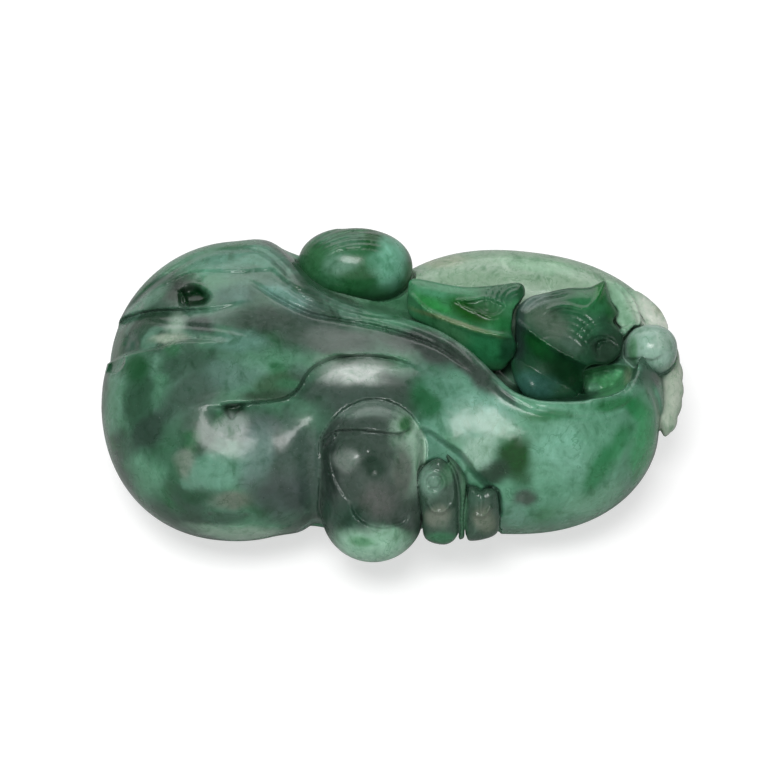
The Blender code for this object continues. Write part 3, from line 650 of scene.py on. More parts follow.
def with_small_pieces(d, p, u, v, w):
    """The leaf and the bud in the recess, and the leaves and the pale knob at the right end."""
    d = join(d, cut(pad(u, v, w, outer_leaf, outer_top, -9), -bead(p, OUTER_BULK), 1.0), 0.5)
    d = seated(d, pad(u, v, w, end_leaf, end_top, -10, 0.3), 0.25, 0.3)
    d = seated(d, pad(u, v, w, wedge_leaf, wedge_top, -8, 0.3), 0.25, 0.4)
    d = seated(d, pad(u, v, w, leaf, leaf_top, -9), 0.4, 0.6)
    d = seated(d, pad(u, v, w, bud, bud_top, -9), 0.4, 0.6)
    d = join(d, rod(p, THORN), 0.4)
    return seated(d, bead(p, RIM_KNOB) + read(on_end, u, v), 0.35, 0.6)


def stone(p):
    """About the distance from the carved stone, negative inside it."""
    p = p + np.array([0, 0, FLAT_CUT])
    u, v, w = to_sheet(p)
    hole = -join(-lobe(p, HOLLOW), read(band_side, u, v) + 0.1, 0.8)
    d = cut(body(p), hole, 0.9 + 2.2 * ease(v - 10.5, 5)) + read(on_recess, u, v) * ease(w + 9, 4)
    d = with_small_pieces(d, p, u, v, w)
    d = seated(d, bead(p, KNOB) + read(on_knob, u, v), 0.5, 1.0)
    d = d + read(on_front, u, v) * ease(w - 2, 3)
    d = seated(d, rod(p, BOSS) + read(on_boss, u, v), 0.35, 0.35, 0.35)
    d = seated(d, pad(u, v, w, strip, strip_top, 8), 0.15, 0.25)
    d = seated(d, pad(u, v, w, curl, curl_top, 7), 0.3, 0.4, 0.3)
    d = seated(d, pad(u, v, w, second_fold, second_top, 7), 0.3, 0.4, 0.3)
    d = d + read(on_facing, u, v) * ease(w + 3, 6)
    return cut(d, p[:, 2] - FLAT_CUT, 0.05)


print("distance at the stone's middle: %.1f mm" % stone(np.array([[0.0, 0.0, 9.0]]))[0])

# %% [markdown]
# ## The skin
#
# The form folds under itself in the recess, so one sheet of two parameters can't cover it. It is sampled on a
# grid in space instead, finely near the surface, and the skin is drawn through the places where the value is
# zero. Each point is then moved onto the form along its slope, and the slope gives its normal.

# %% Sample the form
def in_slices(p, size=60000):
    """The form's values at points, worked out a slice at a time, which keeps the arrays small."""
    return np.concatenate([stone(p[i : i + size]) for i in range(0, len(p), size)])


def sampled(low, shape, spacing, coarse=4):
    """The form's values on a grid, worked out near the surface and taken from a coarser grid elsewhere."""
    rough = [n // coarse + 1 for n in shape]
    places = np.stack(np.meshgrid(*[np.arange(n) for n in rough], indexing="ij"), -1).reshape(-1, 3)
    values = in_slices(low + (places + 0.5 - 0.5 / coarse) * coarse * spacing).reshape(rough)
    for axis in range(3):
        values = values.repeat(coarse, axis)
    values = values[: shape[0], : shape[1], : shape[2]].copy()
    near = np.argwhere(np.abs(values) < 1.5 * coarse * spacing)
    values[tuple(near.T)] = in_slices(low + near * spacing)
    print("values worked out near the surface:", len(near))
    return values


tall = np.stack([np.zeros(300), np.zeros(300), np.linspace(0, 30, 300)], axis=1)
print("height at the middle: %.1f mm" % tall[in_slices(tall) < 0, 2].max())


# %% Draw the skin
def outer_faces(count, faces):
    """The faces of the largest connected skin: each point takes the lowest number among its neighbours'."""
    label = np.arange(count)
    while True:
        lowest = label.copy()
        np.minimum.at(lowest, faces.ravel(), label[faces].min(1).repeat(4))
        lowest = lowest[lowest]
        if (lowest == label).all():
            break
        label = lowest
    largest = np.bincount(label[faces[:, 0]]).argmax()
    return faces[label[faces[:, 0]] == largest]


def slope_of(p, d, reach=0.02):
    """The slope of the form at points, from its values a little way along each axis."""
    return np.stack([in_slices(p + reach * axis) - d for axis in np.eye(3)], 1) / reach


def make_skin(name, spacing, triangles):
    """The surface where the form's values are zero, thinned to this many triangles."""
    low, high = np.array([-37.0, -25.0, -1.5]), np.array([37.5, 25.5, 27.0])
    values = sampled(low, np.ceil((high - low) / spacing).astype(int), spacing)
    grid = openvdb.FloatGrid(3.0)
    grid.copyFromArray(values.astype(np.float32))
    points, quads = grid.convertToQuads(0.0)
    quads = outer_faces(len(points), quads.astype(int))
    used, quads = np.unique(quads, return_inverse=True)
    mesh = bpy.data.meshes.new(name)
    mesh.from_pydata((low + points[used] * spacing) * UNIT, [], quads.reshape(-1, 4))
    piece = bpy.data.objects.new(name, mesh)
    bpy.context.scene.collection.objects.link(piece)
    fewer = piece.modifiers.new("fewer", "DECIMATE")
    fewer.ratio = min(1, triangles / (2 * len(mesh.polygons)))
    graph = bpy.context.evaluated_depsgraph_get()
    piece.data = bpy.data.meshes.new_from_object(piece.evaluated_get(graph))
    piece.modifiers.remove(fewer)
    print("faces drawn and kept:", len(mesh.polygons), len(piece.data.polygons))
    return piece


def settle(piece, most=0.1):
    """Moves each point once onto the form, by this much at most, and takes the form's slope there as its
    normal. The step is the value times the slope, over the square of the slope, which is kept above a half."""
    mesh = piece.data
    points = np.empty(len(mesh.vertices) * 3)
    mesh.vertices.foreach_get("co", points)
    points = points.reshape(-1, 3) / UNIT
    d = in_slices(points)
    slope = slope_of(points, d)
    step = (d / np.maximum((slope**2).sum(1), 0.5))[:, None] * slope
    long = np.linalg.norm(step, axis=1)
    points = points - step / np.maximum(long / most, 1)[:, None]
    points[:, 2] = np.maximum(points[:, 2], 0)
    mesh.vertices.foreach_set("co", (points * UNIT).ravel())
    slope = slope_of(points, in_slices(points))
    slope /= np.linalg.norm(slope, axis=1)[:, None] + 1e-9
    mesh.shade_smooth()
    mesh.normals_split_custom_set_from_vertices(slope)
    print("mean move onto the form: %.4f mm, points held back: %d" % (long.mean(), (long > most).sum()))


GRID_STEP = 0.26
TRIANGLES = 196000
skin = make_skin("carved_stone", GRID_STEP, TRIANGLES)
settle(skin)

# %% [markdown]
# ## Jade
#
# The greens run through the stone as soft clouds. Each cloud is an ellipse at a place on the sheet, at the
# depth of the skin there, and noise draws out its edge. The clouds are worked out at the skin's points and
# kept in its colour attribute. The material adds what is finer.
#
# The places below are in millimetres on the sheet: u, v, half sizes, turn in degrees, strength and colour.
# Those of the body come first. Those of a piece are kept inside it, so that its edge is crisp in colour too.
# Most clouds are greens of the stone, but some stand in for light: pale painted highlights on the bulge, the
# left lobe and the boss, a pale painted reflection along the lower rim, near-black painted shade along the
# arch and at the foot of the band's edge, and the end leaf's pale, which is partly a painted highlight.

# %% The clouds' places
CLOUDS = {
    "body": [
        (20.1, -5.7, 15.1, 11.5, 0, 0.92, (0.105, 0.285, 0.18)),
        (6.9, -2.1, 7.2, 6.6, 0, 0.8, (0.11, 0.27, 0.19)),
        (-19.1, 16.5, 7.0, 2.1, 0, 0.92, (0.085, 0.235, 0.165)),
        (-12.4, 11.2, 4.8, 1.4, -38, 0.9, (0.14, 0.29, 0.24)),
        (-16.5, 14.2, 4.1, 1.1, -10, 0.8, (0.075, 0.16, 0.115)),
        (-8.8, 7.6, 9.9, 3.3, -12, 0.92, (0.042, 0.066, 0.052)),
        (-16.5, 9.0, 4.1, 1.9, 0, 0.85, (0.04, 0.066, 0.05)),
        (-4.9, 1.1, 7.5, 3.6, 0, 0.92, (0.04, 0.064, 0.052)),
        # painted highlight: a whitish cloud on the top of the front bulge, just under the arch
        (-4.0, 3.0, 4.3, 1.7, 0, 1, (0.42, 0.48, 0.44)),
        (-11.5, -9.5, 5.1, 6.5, 0, 0.9, (0.045, 0.07, 0.06)),
        (-28.7, -4.6, 2.9, 4.3, -30, 0.9, (0.02, 0.042, 0.03)),
        (-30.6, -0.2, 1.8, 3.9, -8, 0.85, (0.015, 0.055, 0.028)),
        (-26.2, -6.3, 1.3, 3.6, -12, 0.75, (0.045, 0.13, 0.075)),
        (-29.3, -10.7, 2.7, 3.1, 20, 0.85, (0.095, 0.25, 0.155)),
        (-23.9, -0.2, 3.6, 2.7, 0, 0.85, (0.04, 0.07, 0.055)),
        (-19.4, 1.7, 3.4, 2.1, 0, 0.8, (0.085, 0.17, 0.135)),
        (-18.2, 6.0, 3.1, 1.4, -6, 0.85, (0.09, 0.21, 0.16)),
        (-18.9, 12.4, 2.5, 1.3, 0, 0.8, (0.06, 0.14, 0.11)),
        (-25.7, 13.1, 2.4, 1.7, 0, 0.92, (0.03, 0.044, 0.034)),
        (-23.8, 11.7, 2.3, 1.4, 0, 1, (0.0, 0.02, 0.004)),
        (-29.3, 11.5, 3.1, 1.1, 35, 0.75, (0.12, 0.24, 0.17)),
        (-25.8, 8.1, 1.7, 1.4, 0, 1, (0.22, 0.32, 0.25)),
        (-26.9, 6.4, 2.4, 0.6, 4, 1, (0.27, 0.35, 0.27)),
        (-22.7, 8.3, 2.3, 1.6, 0, 0.95, (0.035, 0.055, 0.044)),
        (-29.3, 8.6, 2.4, 1.4, 10, 0.9, (0.025, 0.06, 0.035)),
        (-31.7, 6.4, 1.4, 1.4, 20, 0.8, (0.035, 0.09, 0.06)),
        (-33.9, 5.8, 1.7, 3.6, 0, 0.95, (0.008, 0.08, 0.025)),
        (-33.2, 3.3, 1.4, 1.1, -30, 0.7, (0.06, 0.14, 0.09)),
        (-30.9, 3.0, 1.7, 2.2, -30, 0.9, (0.006, 0.07, 0.02)),
        (-14.1, 1.1, 2.7, 1.3, 15, 0.85, (0.03, 0.075, 0.035)),
        # painted shade: a near-black strip along the edge of the arch
        (-15.1, -0.5, 3.1, 0.6, 3, 0.85, (0.018, 0.045, 0.022)),
        (-12.4, 1.1, 1.6, 0.7, 0, 0.7, (0.04, 0.15, 0.075)),
        (-18.9, -2.2, 1.4, 0.7, 0, 0.9, (0.012, 0.035, 0.018)),
        (-16.3, -4.2, 2.4, 1.4, 0, 0.75, (0.09, 0.12, 0.115)),
        (-16.5, -7.5, 1.8, 3.9, -10, 0.75, (0.11, 0.19, 0.165)),
        (-20.4, -9.3, 2.9, 2.1, 0, 0.9, (0.105, 0.26, 0.18)),
        (-24.4, -8.3, 1.1, 1.7, -20, 0.8, (0.17, 0.22, 0.175)),
        (-25.9, -10.5, 0.8, 2.7, -14, 0.65, (0.03, 0.10, 0.05)),
        (-23.4, -12.1, 2.1, 1.0, 0, 0.85, (0.018, 0.075, 0.036)),
        (-18.9, -12.8, 2.4, 1.0, 0, 0.75, (0.115, 0.13, 0.10)),
        (-13.4, -12.9, 3.4, 2.9, 0, 0.7, (0.04, 0.06, 0.055)),
        (-22.7, -15.0, 6.0, 1.0, 6, 0.8, (0.03, 0.07, 0.045)),
        # painted reflection: a pale strip along the left lobe's lower rim, as if lit from the floor
        (-17.7, -16.9, 6.8, 1.1, -4, 0.95, (0.24, 0.38, 0.28)),
        (0.2, -0.2, 2.7, 2.9, 0, 0.85, (0.035, 0.06, 0.045)),
        (3.7, -0.2, 2.4, 2.1, 20, 0.9, (0.012, 0.10, 0.035)),
        (4.2, 5.9, 6.5, 1.8, -24, 0.98, (0.035, 0.05, 0.042)),
        (13.3, -0.2, 2.4, 0.6, -35, 0.9, (0.03, 0.06, 0.045)),
        (9.5, 3.0, 4.6, 1.4, -42, 0.97, (0.035, 0.052, 0.042)),
        (5.7, 0.6, 2.4, 1.0, -25, 0.6, (0.11, 0.26, 0.19)),
        (11.0, -1.0, 4.1, 1.1, -24, 0.7, (0.14, 0.32, 0.24)),
        # painted highlight: a whitish cloud on the upper front of the left lobe
        (-19.2, -4.0, 1.8, 1.3, 0, 0.85, (0.27, 0.33, 0.30)),
        (15.0, -7.8, 2.7, 2.5, 0, 1, (0.0, 0.05, 0.004)),
        (13.5, -5.2, 1.2, 1.0, 0, 0.5, (0.03, 0.15, 0.06)),
        (12.2, -9.3, 2.2, 1.2, 0, 0.95, (0.005, 0.03, 0.012)),
        (10.5, -6.6, 1.9, 2.2, -35, 0.9, (0.25, 0.40, 0.31)),
        (7.5, -5.7, 1.4, 1.1, -30, 0.8, (0.10, 0.25, 0.155)),
        (15.7, -12.1, 1.3, 1.0, 0, 0.9, (0.05, 0.07, 0.055)),
        (17.9, -14.4, 1.9, 1.1, 25, 0.7, (0.05, 0.19, 0.085)),
        (14.4, -14.1, 1.4, 1.9, 0, 0.7, (0.14, 0.31, 0.225)),
        (24.5, -9.0, 1.1, 3.4, -28, 0.85, (0.02, 0.17, 0.06)),
        (27.1, -6.4, 1.1, 3.1, -28, 0.8, (0.025, 0.18, 0.065)),
        (29.6, -1.8, 1.9, 1.3, -30, 0.95, (0.012, 0.15, 0.045)),
        (26.4, -1.3, 2.9, 0.7, 12, 0.85, (0.02, 0.15, 0.05)),
        (18.5, -2.8, 2.9, 0.7, 0, 0.8, (0.02, 0.13, 0.045)),
        (20.4, -7.1, 2.7, 2.9, 0, 0.7, (0.155, 0.36, 0.26)),
        (25.0, -12.9, 5.3, 1.7, 14, 0.75, (0.17, 0.38, 0.25)),
        (30.4, -6.9, 1.6, 6.0, 0, 0.9, (0.04, 0.29, 0.11)),
    ],
    "back": [
        (15.3, 14.2, 20.5, 7.2, -5, 1, (0.26, 0.39, 0.275)),
        (6.0, 16.4, 3.4, 0.8, 0, 0.75, (0.31, 0.37, 0.26)),
        (15.3, 15.1, 7.2, 0.7, -3, 0.6, (0.31, 0.43, 0.33)),
        (17.7, 15.8, 4.8, 1.0, -8, 0.5, (0.20, 0.43, 0.25)),
        (1.4, 10.6, 4.1, 2.7, -20, 0.95, (0.05, 0.17, 0.085)),
        (2.7, 13.4, 0.8, 1.7, 0, 0.8, (0.07, 0.24, 0.09)),
        (12.9, 2.1, 2.9, 2.7, -40, 0.97, (0.085, 0.125, 0.095)),
        # painted shade: a near-black strip in the crease at the foot of the band's edge
        (20.1, 0.4, 7.2, 1.9, 0, 0.9, (0.006, 0.03, 0.015)),
        (25.7, 1.6, 2.9, 1.6, 0, 0.97, (0.075, 0.29, 0.125)),
        (26.9, 2.5, 0.8, 0.5, 0, 0.7, (0.10, 0.35, 0.17)),
        (24.2, 0.7, 0.8, 0.5, 0, 0.7, (0.13, 0.30, 0.20)),
        (28.5, 1.6, 0.7, 1.7, 15, 0.8, (0.17, 0.25, 0.15)),
        (27.9, 10.7, 2.1, 3.1, 30, 0.9, (0.19, 0.36, 0.235)),
        # the end leaf's pale green, made whiter as a painted highlight where its glints are
        (31.6, 9.5, 2.2, 3.1, 35, 1, (0.55, 0.62, 0.53)),
        (32.9, 10.6, 1.4, 1.0, 40, 0.6, (0.26, 0.30, 0.19)),
        (33.9, 0.1, 1.7, 6.5, -6, 0.95, (0.42, 0.50, 0.40)),
    ],
    "leaf": [
        (8.3, 8.2, 10.9, 8.4, 0, 1, (0.035, 0.17, 0.07)),
        (6.3, 12.4, 3.6, 1.1, -6, 0.9, (0.055, 0.23, 0.115)),
        (4.9, 10.7, 2.4, 0.7, -28, 0.92, (0.02, 0.20, 0.045)),
        (9.5, 9.8, 3.4, 1.3, -18, 1, (0.0, 0.06, 0.0)),
        (13.3, 12.1, 2.7, 1.2, 0, 0.9, (0.02, 0.095, 0.045)),
        (15.2, 12.2, 0.7, 1.4, 0, 0.8, (0.008, 0.06, 0.02)),
        (11.0, 10.4, 1.9, 0.8, -10, 0.7, (0.03, 0.11, 0.045)),
        (12.9, 8.2, 1.7, 1.0, -20, 0.85, (0.008, 0.12, 0.03)),
        (7.6, 8.4, 6.0, 0.3, -18, 0.85, (0.12, 0.17, 0.075)),
        (11.7, 5.2, 3.9, 1.6, -10, 0.85, (0.02, 0.17, 0.065)),
        (6.9, 7.4, 2.7, 0.7, -32, 0.7, (0.06, 0.20, 0.09)),
        (13.8, 5.2, 1.1, 1.7, 0, 0.8, (0.008, 0.045, 0.022)),
    ],
    "bud": [
        (20.1, 5.8, 10.9, 10.9, 0, 1, (0.014, 0.07, 0.032)),
        (18.7, 8.2, 2.9, 2.1, -38, 0.97, (0.075, 0.12, 0.085)),
        (16.6, 11.0, 2.2, 1.0, 25, 0.9, (0.10, 0.16, 0.135)),
        (15.1, 7.0, 0.8, 4.1, 0, 0.9, (0.018, 0.04, 0.032)),
        (22.4, 8.8, 2.2, 1.9, 0, 0.8, (0.02, 0.10, 0.045)),
        (21.4, 5.8, 1.7, 1.0, -35, 0.8, (0.05, 0.10, 0.07)),
        (23.8, 11.0, 3.1, 1.4, 0, 0.9, (0.02, 0.14, 0.05)),
        (25.0, 12.4, 1.0, 1.4, 0, 0.9, (0.005, 0.13, 0.02)),
        (26.4, 9.8, 0.8, 1.4, 0, 0.85, (0.008, 0.09, 0.022)),
        (25.7, 5.5, 2.3, 2.4, 0, 0.95, (0.012, 0.038, 0.02)),
        (17.7, 5.2, 2.4, 0.8, -38, 0.92, (0.004, 0.075, 0.014)),
        (20.5, 3.0, 3.1, 1.6, -32, 0.95, (0.002, 0.028, 0.007)),
        (16.8, 1.3, 2.5, 1.4, 0, 0.95, (0.03, 0.11, 0.085)),
        # painted shade: the bud's near-black foot in the crease under the band's edge
        (20.5, -0.4, 3.1, 0.8, 0, 0.92, (0.003, 0.014, 0.007)),
    ],
    "knob": [
        (-4.6, 15.4, 10.9, 8.4, 0, 1, (0.03, 0.13, 0.055)),
        (-6.6, 18.6, 4.3, 1.1, 0, 0.8, (0.055, 0.15, 0.09)),
        (-9.8, 15.8, 1.7, 2.7, 0, 0.9, (0.03, 0.13, 0.05)),
        (-5.8, 15.3, 2.1, 1.6, 0, 0.9, (0.11, 0.24, 0.165)),
        (-3.7, 13.1, 1.7, 1.7, 0, 0.95, (0.015, 0.095, 0.03)),
        (-0.1, 15.8, 2.1, 3.4, 0, 1, (0.15, 0.39, 0.27)),
        (-2.5, 18.5, 1.0, 1.9, 0, 0.9, (0.006, 0.07, 0.015)),
        (-6.4, 12.2, 3.1, 0.7, 10, 0.8, (0.02, 0.12, 0.04)),
    ],
    "rim knob": [
        (31.1, 5.2, 7.2, 7.2, 0, 1, (0.25, 0.40, 0.32)),
        (29.8, 3.0, 1.7, 1.0, -10, 0.7, (0.14, 0.28, 0.20)),
        (32.2, 6.4, 1.4, 1.2, 0, 0.6, (0.27, 0.38, 0.31)),
        (28.6, 5.2, 0.6, 1.7, 0, 0.8, (0.07, 0.22, 0.10)),
    ],
    "boss": [
        (-2.5, -10.5, 10.9, 14.5, 0, 1, (0.044, 0.07, 0.055)),
        (-3.3, -1.8, 5.3, 1.4, 0, 0.9, (0.085, 0.14, 0.11)),
        (-4.2, -3.4, 3.6, 0.8, 0, 0.8, (0.04, 0.062, 0.05)),
        (2.4, -5.7, 2.2, 5.5, 0, 1, (0.30, 0.46, 0.35)),
        (1.4, -3.7, 0.7, 1.2, 0, 0.9, (0.018, 0.11, 0.03)),
        (-7.4, -9.3, 1.0, 5.5, 0, 0.85, (0.02, 0.035, 0.028)),
        # painted highlight: a pale grey cloud on the bump at the boss's left
        (-5.4, -8.0, 1.6, 1.2, 0, 0.95, (0.17, 0.21, 0.185)),
        (-2.1, -8.7, 1.4, 1.4, 0, 0.95, (0.006, 0.03, 0.015)),
        (-1.8, -12.7, 2.3, 2.1, 0, 0.85, (0.08, 0.09, 0.08)),
        (1.1, -9.3, 1.0, 2.9, 0, 0.8, (0.075, 0.09, 0.075)),
        (-5.8, -15.3, 2.7, 1.9, 0, 0.85, (0.02, 0.06, 0.038)),
        (1.1, -17.1, 2.2, 1.0, 0, 0.8, (0.02, 0.11, 0.04)),
        (-2.1, -18.6, 5.5, 2.4, 0, 1, (0.28, 0.50, 0.36)),
        (-3.7, -17.5, 1.4, 0.6, 0, 0.7, (0.06, 0.24, 0.10)),
    ],
    "fold": [
        (7.5, -12.9, 10.9, 10.9, 0, 1, (0.04, 0.08, 0.055)),
        (4.5, -10.5, 1.4, 1.8, 0, 0.92, (0.14, 0.25, 0.19)),
        (6.4, -9.3, 0.8, 1.7, -20, 0.7, (0.06, 0.17, 0.09)),
        (5.3, -14.6, 1.4, 1.2, 0, 0.9, (0.14, 0.17, 0.13)),
        (5.8, -17.1, 1.9, 0.7, 0, 0.85, (0.04, 0.17, 0.08)),
        (8.3, -12.9, 0.5, 5.3, 0, 0.8, (0.05, 0.14, 0.075)),
        (9.8, -12.4, 1.0, 1.0, 0, 0.8, (0.05, 0.11, 0.075)),
        (11.0, -14.8, 1.4, 1.6, 0, 0.9, (0.11, 0.14, 0.10)),
    ],
}
print("clouds:", {name: len(places) for name, places in CLOUDS.items()})

# %% [markdown]
# The colour of a real carving runs on from one piece to the next, but a piece that stands higher is cut from
# another layer of the stone. So each piece has clouds of its own. The forms above say which points of the
# skin are on which piece, and how far each point lies below the uncarved body.

# %% Mark the pieces on the skin
mesh = skin.data
points = np.empty(len(mesh.vertices) * 3)
mesh.vertices.foreach_get("co", points)
points = points.reshape(-1, 3) / UNIT + np.array([0, 0, FLAT_CUT])
u, v, w = to_sheet(points)


def inside(distance):
    """1 inside a piece and 0 outside it, with a soft change over its edge."""
    return ease(0.25 - distance, 0.4)


fold_shapes = ((strip, strip_top, 8), (curl, curl_top, 7), (second_fold, second_top, 7))
folds = [pad(u, v, w, *shape) for shape in fold_shapes]
marks = {
    "back": ease(read(band_side, u, v) - 0.2, 0.5) * ease(8 - w, 2),
    "leaf": inside(pad(u, v, w, leaf, leaf_top, -9)),
    "bud": inside(pad(u, v, w, bud, bud_top, -9)),
    "knob": inside(bead(points, KNOB)),
    "rim knob": inside(bead(points, RIM_KNOB)),
    "boss": inside(rod(points, BOSS)),
    "fold": inside(np.min(folds, axis=0)),
    "depth": np.clip(-body(points) / 4, 0, 1),
}
end_piece = cut(pad(u, v, w, outer_leaf, outer_top, -9), -bead(points, OUTER_BULK), 1.0)
marks["back"] = np.max([marks["back"], inside(end_piece), ease(u - 28, 1) * ease(v - 6, 1)], axis=0)
print("share of the points:", {name: "%.1f%%" % (100 * value.mean()) for name, value in marks.items()})

# %% [markdown]
# Ellipses alone would look painted on. Noise pulls their edges about, widely first and then finely, as the
# minerals of the stone were stirred when it formed.

# %% Noise
LATTICE = 32            # values each way, after which the noise repeats


def lattice_noise(p, scale, seed, octaves=3):
    """Random values on a cubic lattice with soft steps between them, in layers, each finer and weaker."""
    values = np.random.default_rng(seed).random((LATTICE,) * 3)
    total = np.zeros(len(p))
    for layer in range(octaves):
        q = p * scale * 2**layer + 7.3 * layer
        cell = np.floor(q).astype(int)
        t = q - cell
        t = t * t * (3 - 2 * t)
        found = 0
        for corner in np.ndindex(2, 2, 2):
            weight = np.prod(np.where(corner, t, 1 - t), axis=1)
            found = found + weight * values[tuple(((cell + corner) % LATTICE).T)]
        total += found / 2**layer
    return total / (2 - 2 / 2**octaves)


def drifted(p, scale, amount, seed):
    """The points moved each way by noise, by half this amount at most."""
    shift = [lattice_noise(p, scale, seed + axis) for axis in range(3)]
    return p + amount * (np.stack(shift, axis=1) - 0.5)


on_plan = np.stack([u, v, w], axis=1)
drifting = drifted(drifted(on_plan, 0.14, 3.2, 1), 0.5, 2.4, 11)
print("largest drift: %.1f mm" % np.linalg.norm(drifting - on_plan, axis=1).max())

# %% [markdown]
# A base of four greens fills what no cloud covers, such as the back and the underside. The clouds are laid
# over it one after another, each fading from its middle outwards.


# %% Colour at the skin's points
def blend(under, over, amount):
    """One colour turned into another by an amount from 0 to 1 at each point."""
    return under + (np.array(over) - under) * amount[:, None]


def soft_step(x, low, high):
    """0 below the low value and 1 above the high one, with a soft change between them."""
    return ease((x - low) / (high - low) - 0.5, 1.0)


def clouded(tint, places, deep=1.0):
    """A colour with a stack of clouds over it, each as deep as the skin is at its place on the sheet. A cloud
    is an ellipsoid that fades out from half its size to nearly one and a half times it. Small ones drift less,
    because a drift wider than the cloud would tear it up."""
    for place_u, place_v, wide, high, turn, strength, colour in places:
        near = np.hypot(u - place_u, v - place_v) < 0.8
        top = w[near].max() if near.any() else 0.0
        moved = on_plan + (drifting - on_plan) * min(1.0, min(wide, high) / 2.5)
        x, y, z = (moved - (place_u, place_v, top)).T
        cos, sin = math.cos(math.radians(turn)), math.sin(math.radians(turn))
        x, y = (x * cos + y * sin) / wide, (y * cos - x * sin) / high
        z = z / (deep * max(4, 0.9 * min(wide, high)))
        reach = np.sqrt(x * x + y * y + z * z)
        tint = blend(tint, colour, strength * (1 - soft_step(reach, 0.5, 1.45)))
    return tint


wide_noise = lattice_noise(drifting, 0.11, 21)
small_noise = lattice_noise(drifting, 0.3, 22, 4)
DARK_JADE, MID_JADE = (0.035, 0.085, 0.055), (0.085, 0.23, 0.14)
EMERALD, PALE_JADE = (0.012, 0.11, 0.035), (0.12, 0.26, 0.185)
base = blend(np.full((len(points), 3), DARK_JADE), MID_JADE, soft_step(wide_noise, 0.4, 0.6))
base = blend(base, EMERALD, 0.7 * soft_step(small_noise, 0.55, 0.72))
base = blend(base, PALE_JADE, 0.6 * soft_step(-small_noise, -0.42, -0.28))
tint = clouded(base, CLOUDS["body"])
for name, places in CLOUDS.items():
    if name != "body":
        tint = blend(tint, clouded(base, places, deep=3.0), marks[name])
with_alpha = np.column_stack([tint, np.ones(len(tint))]).astype(np.float32)
mesh.attributes.new("tint", "FLOAT_COLOR", "POINT").data.foreach_set("color", with_alpha.ravel())
# The depth attribute makes the deep places duller in the material and also darkens them with painted shade.
mesh.attributes.new("depth", "FLOAT", "POINT").data.foreach_set("value", marks["depth"].astype(np.float32))
print("mean colour of the skin:", tint.mean(axis=0).round(3))

# %% [markdown]
# ## The stone's material
#
# Soft streaks lighten and darken the clouds, a finer mottle lies over them, thin dark veins run between them,
# and a few pale specks sit under the polish. The tools don't reach well into the deep places, so the finish
# is duller there. The colour is also darkened there, in blotches, with painted shade that grows with the
# depth. Some light enters the stone and comes out again near by, which softens the shade on it. A thin clear
# coat gives the sharp part of the highlights.

# %% Node helpers
def add(tree, kind, inputs=None, **settings):
    """One node, with its settings, and its inputs set to values or linked to sockets."""
    node = tree.nodes.new(kind)
    for name, value in settings.items():
        setattr(node, name, value)
    for key, value in (inputs or {}).items():
        if isinstance(value, bpy.types.NodeSocket):
            tree.links.new(value, node.inputs[key])
        else:
            node.inputs[key].default_value = value
    return node


def math_node(tree, operation, a, b=0.0, c=0.0):
    """The result of a sum, a product or the like of up to three values."""
    return add(tree, "ShaderNodeMath", {0: a, 1: b, 2: c}, operation=operation).outputs[0]


def vector_node(tree, operation, a, b=(0, 0, 0)):
    """The same for two vectors, each axis by itself."""
    return add(tree, "ShaderNodeVectorMath", {0: a, 1: b}, operation=operation).outputs[0]


def ranged(tree, value, low, high, to_low=0.0, to_high=1.0):
    """The value moved from one range to another, with a soft start and end."""
    inputs = {0: value, 1: low, 2: high, 3: to_low, 4: to_high}
    return add(tree, "ShaderNodeMapRange", inputs, interpolation_type="SMOOTHSTEP").outputs[0]


def noise(tree, point, scale, detail=3.0, rough=0.5, distortion=0.0):
    """A noise texture, which has a value and a colour for each point in space."""
    inputs = {"Vector": point, "Scale": scale, "Detail": detail, "Roughness": rough, "Distortion": distortion}
    return add(tree, "ShaderNodeTexNoise", inputs)


def mixed(tree, factor, a, b, way="MIX"):
    """Two colours mixed, or the first multiplied by the second, by this factor."""
    node = tree.nodes.new("ShaderNodeMix")
    node.data_type = "RGBA"
    node.blend_type = way
    for index, value in ((0, factor), (6, a), (7, b)):
        if isinstance(value, bpy.types.NodeSocket):
            tree.links.new(value, node.inputs[index])
        else:
            node.inputs[index].default_value = value if index == 0 else (*value, 1)
    return node.outputs[2]


# %% The colours of the jade
jade = bpy.data.materials.new("jade")
jade.use_nodes = True
tree = jade.node_tree
shader = tree.nodes["Principled BSDF"]
place = add(tree, "ShaderNodeTexCoord").outputs["Object"]
place = vector_node(tree, "MULTIPLY", place, (1000, 1000, 1000))
colour = add(tree, "ShaderNodeAttribute", attribute_name="tint").outputs["Color"]
depth = add(tree, "ShaderNodeAttribute", attribute_name="depth").outputs["Fac"]

shift = vector_node(tree, "SUBTRACT", noise(tree, place, 0.25, 2.0).outputs["Color"], (0.5, 0.5, 0.5))
stirred = vector_node(tree, "ADD", place, vector_node(tree, "MULTIPLY", shift, (3.0, 3.0, 3.0)))
streaks = noise(tree, vector_node(tree, "MULTIPLY", stirred, (0.9, 0.5, 0.5)), 0.7, 4.0, 0.55).outputs[0]
pale = mixed(tree, 1.0, colour, (1.55, 1.4, 1.5), "MULTIPLY")
colour = mixed(tree, ranged(tree, streaks, 0.52, 0.75, 0, 0.6), colour, pale)
dark = mixed(tree, 1.0, colour, (0.42, 0.6, 0.48), "MULTIPLY")
colour = mixed(tree, ranged(tree, streaks, 0.48, 0.26, 0, 0.9), colour, dark)
mottle = noise(tree, stirred, 1.1, 5.0, 0.62).outputs[0]
colour = mixed(tree, ranged(tree, mottle, 0.5, 0.72, 0, 0.35), colour, pale)
colour = mixed(tree, ranged(tree, mottle, 0.5, 0.3, 0, 0.45), colour, dark)
veins = noise(tree, stirred, 0.16, 5.0, 0.6, 0.6).outputs[0]
off_vein = math_node(tree, "ABSOLUTE", math_node(tree, "SUBTRACT", veins, 0.5))
